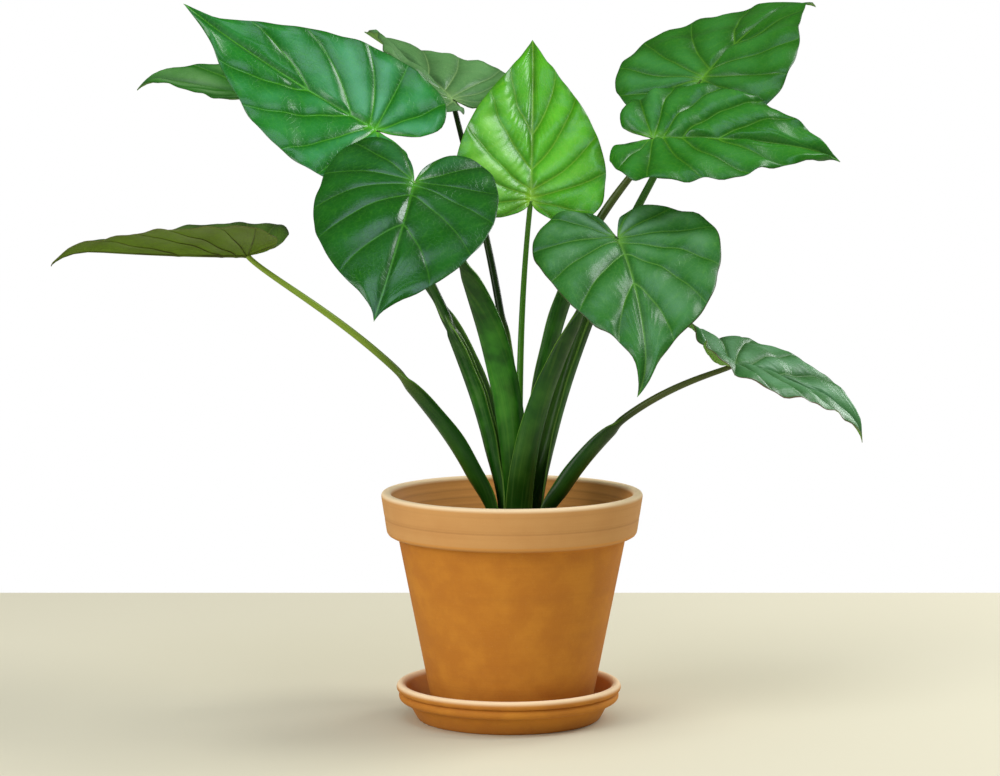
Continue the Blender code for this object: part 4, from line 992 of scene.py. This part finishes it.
def makeLeaf(name, leaf, seed):
    grid = leafPattern(leaf, seed)
    halves = [halfBlade(leaf, grid, half) for half in (0, 1)]
    axes = leafAxes(leaf)
    joint = crownPlace + np.array(leaf["joint"])
    rows, columns = grid.flat.shape[:2]
    index = np.arange(rows * columns).reshape(rows, columns)
    quads = np.stack([index[:-1, :-1], index[:-1, 1:], index[1:, 1:], index[1:, :-1]], axis=-1).reshape(-1, 4)
    points, faces, layers = [], [], {}
    for half, panel in zip(halves, grid.panels):
        for under, sheet in ((False, half.top), (True, half.low)):
            flipped = half.left != under
            faces.append((quads[:, ::-1] if flipped else quads) + len(points) * rows * columns)
            points.append(keepInside(sheet.reshape(-1, 3) @ axes + joint))
            depth = np.full(half.x.shape, 0.1 * seed)  # sets the leaves' patterns apart
            drawn = {
                **grid.drawn, "panel": panel, "under": np.full(half.x.shape, float(under)),
                "heart": np.exp(-((half.x / 0.011) ** 2 + (half.y / 0.006) ** 2)),
                "flat": np.stack([half.x, half.y, depth], axis=-1)}
            for key, values in drawn.items():
                layers.setdefault(key, []).append(values.reshape(-1, 3) if key == "flat" else values.ravel())
    attributes = {key: np.concatenate(values) for key, values in layers.items()}
    piece = meshObject("blade_" + name, np.concatenate(points), np.concatenate(faces).tolist(),
                       leafMaterial(name, leaf), attributes)
    settle(piece, "leaf_" + name, finish="leaf_" + name)

    # the ribs under the blade: the midrib, then six side veins on each half
    lines = []
    gaps, each = len(veinShares) - 1, bladeForm["raysPerGap"]
    for half in halves:
        if half.left:
            width = bladeForm["ribWidth"] * (1 - 0.8 * grid.forward[:, 0])
            lines.append((half.low[:, 0] - half.normal[:, 0] * width[:, None] * 0.5, width))
        for row in range(each, each * gaps, each):
            width = bladeForm["veinWidth"] * (1 - 0.75 * grid.rings[1:-3:2])
            lines.append((half.low[row, 1:-3:2] - half.normal[row, 1:-3:2] * width[:, None] * 0.3, width))
    makeRibs(name, leaf, [(keepInside(line @ axes + joint), width) for line, width in lines])


for number, (name, leaf) in enumerate(leaves.items()):
    makeLeaf(name, leaf, number + 1)
print("ten blades grown")


# Stems: an open sheath round the crown that closes into a round stalk under the blade

stemForm = {
    "rings": {"core": 0.0003, "inner": 0.0074, "middle": 0.0126, "outer": 0.0180},  # where a sheath stands
    "bottom": 0.15, "sheathHalf": 0.0020, "stations": (46, 18, 46), "sides": 44,
    # glow is the colour of the painted light, a bright glow painted on the middle of each sheath
    "streakMm": 2.0, "toneMm": 18.0, "paintedGlow": "#35961a",
}

# paintedGlowMost is how strong the painted glow of light gets on each sheath
stems = {
    "low_left": {
        "ring": "outer", "bearing": 188, "elevation": 79, "heading": 180, "handles": (0.44, 0.11),
        "tilt": 0.14, "rise": -0.11, "baseWidth": 0.0118, "midWidth": 0.0165, "endWidth": 0.008,
        "channelRadius": 0.0085, "sheathEnd": 0.42, "stalkRadius": 0.003, "topRadius": 0.0021,
        "sheath": "#0a2f03", "stalk": "#7a9430", "lip": "#4f7f22", "paintedGlowMost": 0.15,
    },
    "upper_left": {
        "ring": "middle", "bearing": 173, "elevation": 88, "heading": 165, "handles": (0.45, 0.42),
        "tilt": 0.33, "rise": 0.0, "baseWidth": 0.008, "midWidth": 0.016, "endWidth": 0.0085,
        "channelRadius": 0.0085, "sheathEnd": 0.52, "stalkRadius": 0.0034, "topRadius": 0.0023,
        "sheath": "#093303", "stalk": "#1c4812", "lip": "#7fae4a", "paintedGlowMost": 0.3,
    },
    "back_left": {
        "ring": "outer", "bearing": 118, "elevation": 82, "heading": 104, "handles": (0.47, 0.31),
        "tilt": 0.1, "rise": -0.13, "baseWidth": 0.009, "midWidth": 0.0105, "endWidth": 0.0065,
        "channelRadius": 0.006, "sheathEnd": 0.45, "stalkRadius": 0.0031, "topRadius": 0.0021,
        "sheath": "#092d03", "stalk": "#1c4412", "lip": "#6a963c", "paintedGlowMost": 0.15,
    },
    "back_center": {
        "ring": "inner", "bearing": 110, "elevation": 78, "heading": 80, "handles": (0.43, 0.23),
        "tilt": -0.1, "rise": -0.14, "baseWidth": 0.0062, "midWidth": 0.0075, "endWidth": 0.005,
        "channelRadius": 0.0052, "sheathEnd": 0.42, "stalkRadius": 0.0031, "topRadius": 0.0022,
        "sheath": "#092503", "stalk": "#1a3010", "lip": "#5f8434", "paintedGlowMost": 0.15,
    },
    "front_left": {
        "ring": "middle", "bearing": -87, "elevation": 89, "heading": 172, "handles": (0.7, 0.08),
        "tilt": 0.3, "rise": 0.0, "baseWidth": 0.0098, "midWidth": 0.0145, "endWidth": 0.0046,
        "channelRadius": 0.012, "sheathEnd": 0.53, "stalkRadius": 0.0036, "topRadius": 0.0024,
        "sheath": "#0b3902", "stalk": "#1c4a10", "lip": "#7fae42", "paintedGlowMost": 0.6,
    },
    "center_new": {
        "ring": "core", "bearing": 60, "elevation": 89, "heading": 50, "handles": (0.34, 0.42),
        "tilt": 0.5, "rise": -0.4, "baseWidth": 0.0028, "midWidth": 0.0028, "endWidth": 0.0028,
        "channelRadius": 0.005, "sheathEnd": 0.3, "stalkRadius": 0.0028, "topRadius": 0.0021,
        "sheath": "#58a018", "stalk": "#458018", "lip": "#8fc04c", "paintedGlowMost": 0.15,
    },
    "back_right": {
        "ring": "outer", "bearing": 46, "elevation": 85, "heading": 25, "handles": (0.43, 0.22),
        "tilt": -0.06, "rise": 0.01, "baseWidth": 0.009, "midWidth": 0.0135, "endWidth": 0.008,
        "channelRadius": 0.0082, "sheathEnd": 0.48, "stalkRadius": 0.0034, "topRadius": 0.0023,
        "sheath": "#0a3103", "stalk": "#30601c", "lip": "#7ba648", "paintedGlowMost": 0.3,
    },
    "upper_right": {
        "ring": "inner", "bearing": -15, "elevation": 89, "heading": 1, "handles": (0.74, 0.12),
        "tilt": 0.12, "rise": 0.0, "baseWidth": 0.0075, "midWidth": 0.0155, "endWidth": 0.0085,
        "channelRadius": 0.0085, "sheathEnd": 0.55, "stalkRadius": 0.0034, "topRadius": 0.0023,
        "sheath": "#0a3602", "stalk": "#3e4a1a", "lip": "#7ba648", "paintedGlowMost": 0.35,
    },
    "front_right": {
        "ring": "outer", "bearing": -90, "elevation": 82, "heading": -93, "handles": (0.46, 0.25),
        "tilt": 0.33, "rise": -0.1, "baseWidth": 0.0112, "midWidth": 0.0104, "endWidth": 0.0048,
        "channelRadius": 0.013, "sheathEnd": 0.68, "stalkRadius": 0.0036, "topRadius": 0.0024,
        "sheath": "#093302", "stalk": "#1c4a10", "lip": "#78a23e", "paintedGlowMost": 0.2,
    },
    "low_right": {
        "ring": "outer", "bearing": -18, "elevation": 70, "heading": 12, "handles": (0.56, 0.08),
        "tilt": -0.02, "rise": -0.25, "baseWidth": 0.0105, "midWidth": 0.0145, "endWidth": 0.0065,
        "channelRadius": 0.0075, "sheathEnd": 0.4, "stalkRadius": 0.003, "topRadius": 0.0021,
        "sheath": "#0a2d03", "stalk": "#454e22", "lip": "#5f8030", "paintedGlowMost": 0.15,
    },
}


def stemCurve(leaf, stem, shares):
    bearing = math.radians(stem["bearing"])
    ring = stemForm["rings"][stem["ring"]]
    base = np.array([crownPlace[0] + ring * math.cos(bearing), ring * math.sin(bearing), stemForm["bottom"]])
    elevation, heading = math.radians(stem["elevation"]), math.radians(stem["heading"])
    start = np.array([math.cos(heading), math.sin(heading), math.tan(elevation)]) * math.cos(elevation)
    joint = crownPlace + np.array(leaf["joint"])
    normal = leafAxes(leaf)[2]
    finish = unit(unit(joint - base) + stem["tilt"] * normal + np.array([0.0, 0.0, stem["rise"]]))
    slant = math.sqrt(max(0.0, 1.0 - float(finish @ normal) ** 2))
    end = joint - normal * stem["topRadius"] * slant * 0.8
    reach = np.linalg.norm(end - base)
    first, last = stem["handles"]
    knots = [base, base + start * first * reach, end - finish * last * reach, end]
    s = np.asarray(shares)[:, None]
    points = (1 - s) ** 3 * knots[0] + 3 * (1 - s) ** 2 * s * knots[1] + 3 * (1 - s) * s**2 * knots[2]
    points = points + s**3 * knots[3]
    slopes = (1 - s) ** 2 * (knots[1] - knots[0]) + 2 * (1 - s) * s * (knots[2] - knots[1])
    slopes = slopes + s**2 * (knots[3] - knots[2])
    return points, slopes / np.linalg.norm(slopes, axis=1)[:, None]


def stemSection(stem, share):
    # half-width, half-thickness, curvature and outward shift of the cross-section
    end = stem["sheathEnd"]
    taper = blend(end, 1.0, share)
    stalk = stem["stalkRadius"] * (1 - taper) + stem["topRadius"] * taper
    if stem["ring"] == "core":
        return stalk, stalk, 0.0, 0.0
    below = min(share / end, 1.0)
    swell = stem["midWidth"] - (stem["baseWidth"] + stem["endWidth"]) / 2
    sheath = stem["baseWidth"] * (1 - below) + stem["endWidth"] * below + swell * 4 * below * (1 - below)
    closing = blend(end - 0.05, end + 0.015, share)
    filling = blend(end * 0.3, end, share)
    opening = blend(0.0, 0.35, below)
    hug = (1 - opening) / stemForm["rings"][stem["ring"]] + opening / stem["channelRadius"]
    curvature = hug * (1 - closing)
    halfWidth = sheath * (1 - closing) + stalk * closing
    shift = opening * (1 - math.cos(halfWidth * curvature)) / curvature / 2 if curvature > 1e-6 else 0.0
    return halfWidth, stemForm["sheathHalf"] * (1 - filling) + stalk * filling, curvature, shift


def stemMaterial(name, look):
    # fleshy petiole: smooth, waxy skin with faint lengthwise streaks and a thin pale lip along the sheath,
    # and a glow of light painted on the middle of the sheath
    made, tree = newMaterial("fleshy petiole " + name)
    grain = (addNode(tree, "ShaderNodeAttribute", {"attribute_name": "grain"}), "Vector")
    lip, along, hollow, paintedGlow = (
        (addNode(tree, "ShaderNodeAttribute", {"attribute_name": key}), "Fac")
        for key in ("lip", "along", "hollow", "paintedGlow"))
    drawn = addNode(tree, "ShaderNodeMapping", inputs={"Vector": grain, "Scale": (1.0, 0.05, 1.0)})
    streaks = addNode(tree, "ShaderNodeTexNoise", inputs={
        "Vector": drawn, "Scale": 1000 / stemForm["streakMm"], "Detail": 1.0})
    tone = addNode(tree, "ShaderNodeTexNoise", inputs={
        "Vector": grain, "Scale": 1000 / stemForm["toneMm"], "Detail": 3.0})
    paintedLightCloud, streaky, pale, rough = (
        addNode(tree, "ShaderNodeMapRange", smooth, {0: source, 1: low, 2: high, 3: least, 4: most})
        for source, low, high, least, most in (
            (tone, 0.3, 0.7, 0.1, look["paintedGlowMost"]), (streaks, 0.45, 0.7, 0.0, 0.08),
            (tone, 0.4, 0.7, 0.0, 0.07), (streaks, 0.3, 0.7, 0.30, 0.40)))
    # painted light: the glow, broken up by noise, brightens the middle of the sheath
    paintedGlowShare, inside, edge = (
        addNode(tree, "ShaderNodeMath", times, {0: source, 1: most})
        for source, most in ((paintedGlow, paintedLightCloud), (hollow, 0.2), (lip, 0.85)))
    colour = look["sheath"]
    for share, paint in (
            (along, look["stalk"]), (paintedGlowShare, stemForm["paintedGlow"]), (streaky, look["lip"]), (pale, look["lip"]),
            (inside, look["lip"]), (edge, look["lip"])):
        colour = (addNode(tree, "ShaderNodeMix", coat, {0: share, 6: colour, 7: paint}), 2)
    bump = addNode(tree, "ShaderNodeBump", inputs={"Strength": 0.2, "Distance": 0.0003, "Height": streaks})
    shader = addNode(tree, "ShaderNodeBsdfPrincipled", inputs={
        "Base Color": colour, "Roughness": rough, "Normal": bump, "IOR": 1.45, "Specular IOR Level": 0.3})
    addNode(tree, "ShaderNodeOutputMaterial", inputs={"Surface": shader})
    return made


def stemRow(stem, share, point, direction, outward, reach):
    # one ring of points round the stem, and what its skin's colour depends on there
    end, sides = stem["sheathEnd"], stemForm["sides"]
    angles = 2 * np.pi * np.arange(sides) / sides
    level = blend(0.0, 0.12, share)
    axis = unit(np.array([0.0, 0.0, 1.0]) * (1 - level) + direction * level)
    outward = unit(outward - axis * float(outward @ axis))
    halfWidth, halfThickness, curvature, shift = stemSection(stem, share)
    closing = blend(end - 0.05, end + 0.015, share) if stem["ring"] != "core" else 1.0
    across = halfWidth * np.cos(angles)
    out = halfThickness * np.sin(angles)
    if curvature > 1e-6:
        radius = 1 / curvature
        turn, far = across / radius, radius + out
        across, out = far * np.sin(turn), far * np.cos(turn) - radius
    frill = 0.0003 * np.sin(share * reach / 0.006) * np.abs(np.cos(angles)) ** 6 * (1 - closing)
    row = point + np.cross(axis, outward) * across[:, None] + outward * (out + shift + frill)[:, None]
    skin = [angles * max(halfWidth, 0.003), np.full(sides, share * reach), np.zeros(sides)]
    return row, {
        "grain": np.stack(skin, axis=-1),
        "lip": np.clip((np.abs(np.cos(angles)) - 0.93) / 0.05, 0, 1) * (1 - closing),
        "along": np.full(sides, blend(end * 0.75, min(end + 0.15, 0.98), share)),
        # painted light: a glow painted on the open sheath, strongest halfway up it
        "paintedGlow": np.full(sides, math.exp(-((share / end - 0.5) / 0.28) ** 2) * (1 - closing)),
        "hollow": (np.sin(angles) < -0.1) * (1 - closing) * blend(0.0, 0.2, share),
    }


def makeStem(name, leaf, stem):
    end = stem["sheathEnd"]
    low, middle, high = stemForm["stations"]
    shares = np.unique(np.concatenate([
        np.linspace(0.0, max(end - 0.06, 0.05), low), np.linspace(end - 0.06, end + 0.03, middle),
        np.linspace(end + 0.03, 1.0, high)]))
    points, directions = stemCurve(leaf, stem, shares)
    reach = np.linalg.norm(points[-1] - points[0])
    bearing = math.radians(stem["bearing"])
    outwardAtBase = np.array([math.cos(bearing), math.sin(bearing), 0.0])
    travel = unit((points[-1] - points[0]) * np.array([1, 1, 0]) + 1e-9)
    rows, layers = [], {}
    for share, point, direction in zip(shares, points, directions):
        outward = outwardAtBase * (1 - share) + travel * share
        row, drawn = stemRow(stem, share, point, direction, outward, reach)
        rows.append(row)
        for key, values in drawn.items():
            layers.setdefault(key, []).append(values)
    index = np.arange(len(rows) * stemForm["sides"]).reshape(len(rows), -1)
    after = np.roll(index, -1, axis=1)
    quads = np.stack([index[:-1], after[:-1], after[1:], index[1:]], axis=-1).reshape(-1, 4)
    faces = quads.tolist() + [index[0][::-1].tolist(), index[-1].tolist()]
    attributes = {key: np.concatenate(values) for key, values in layers.items()}
    piece = meshObject("petiole_" + name, np.concatenate(rows), faces, stemMaterial(name, stem), attributes)
    settle(piece, "stem_" + name, finish="stem_green")


for name, stem in stems.items():
    makeStem(name, leaves[name], stem)
print("ten stems grown")
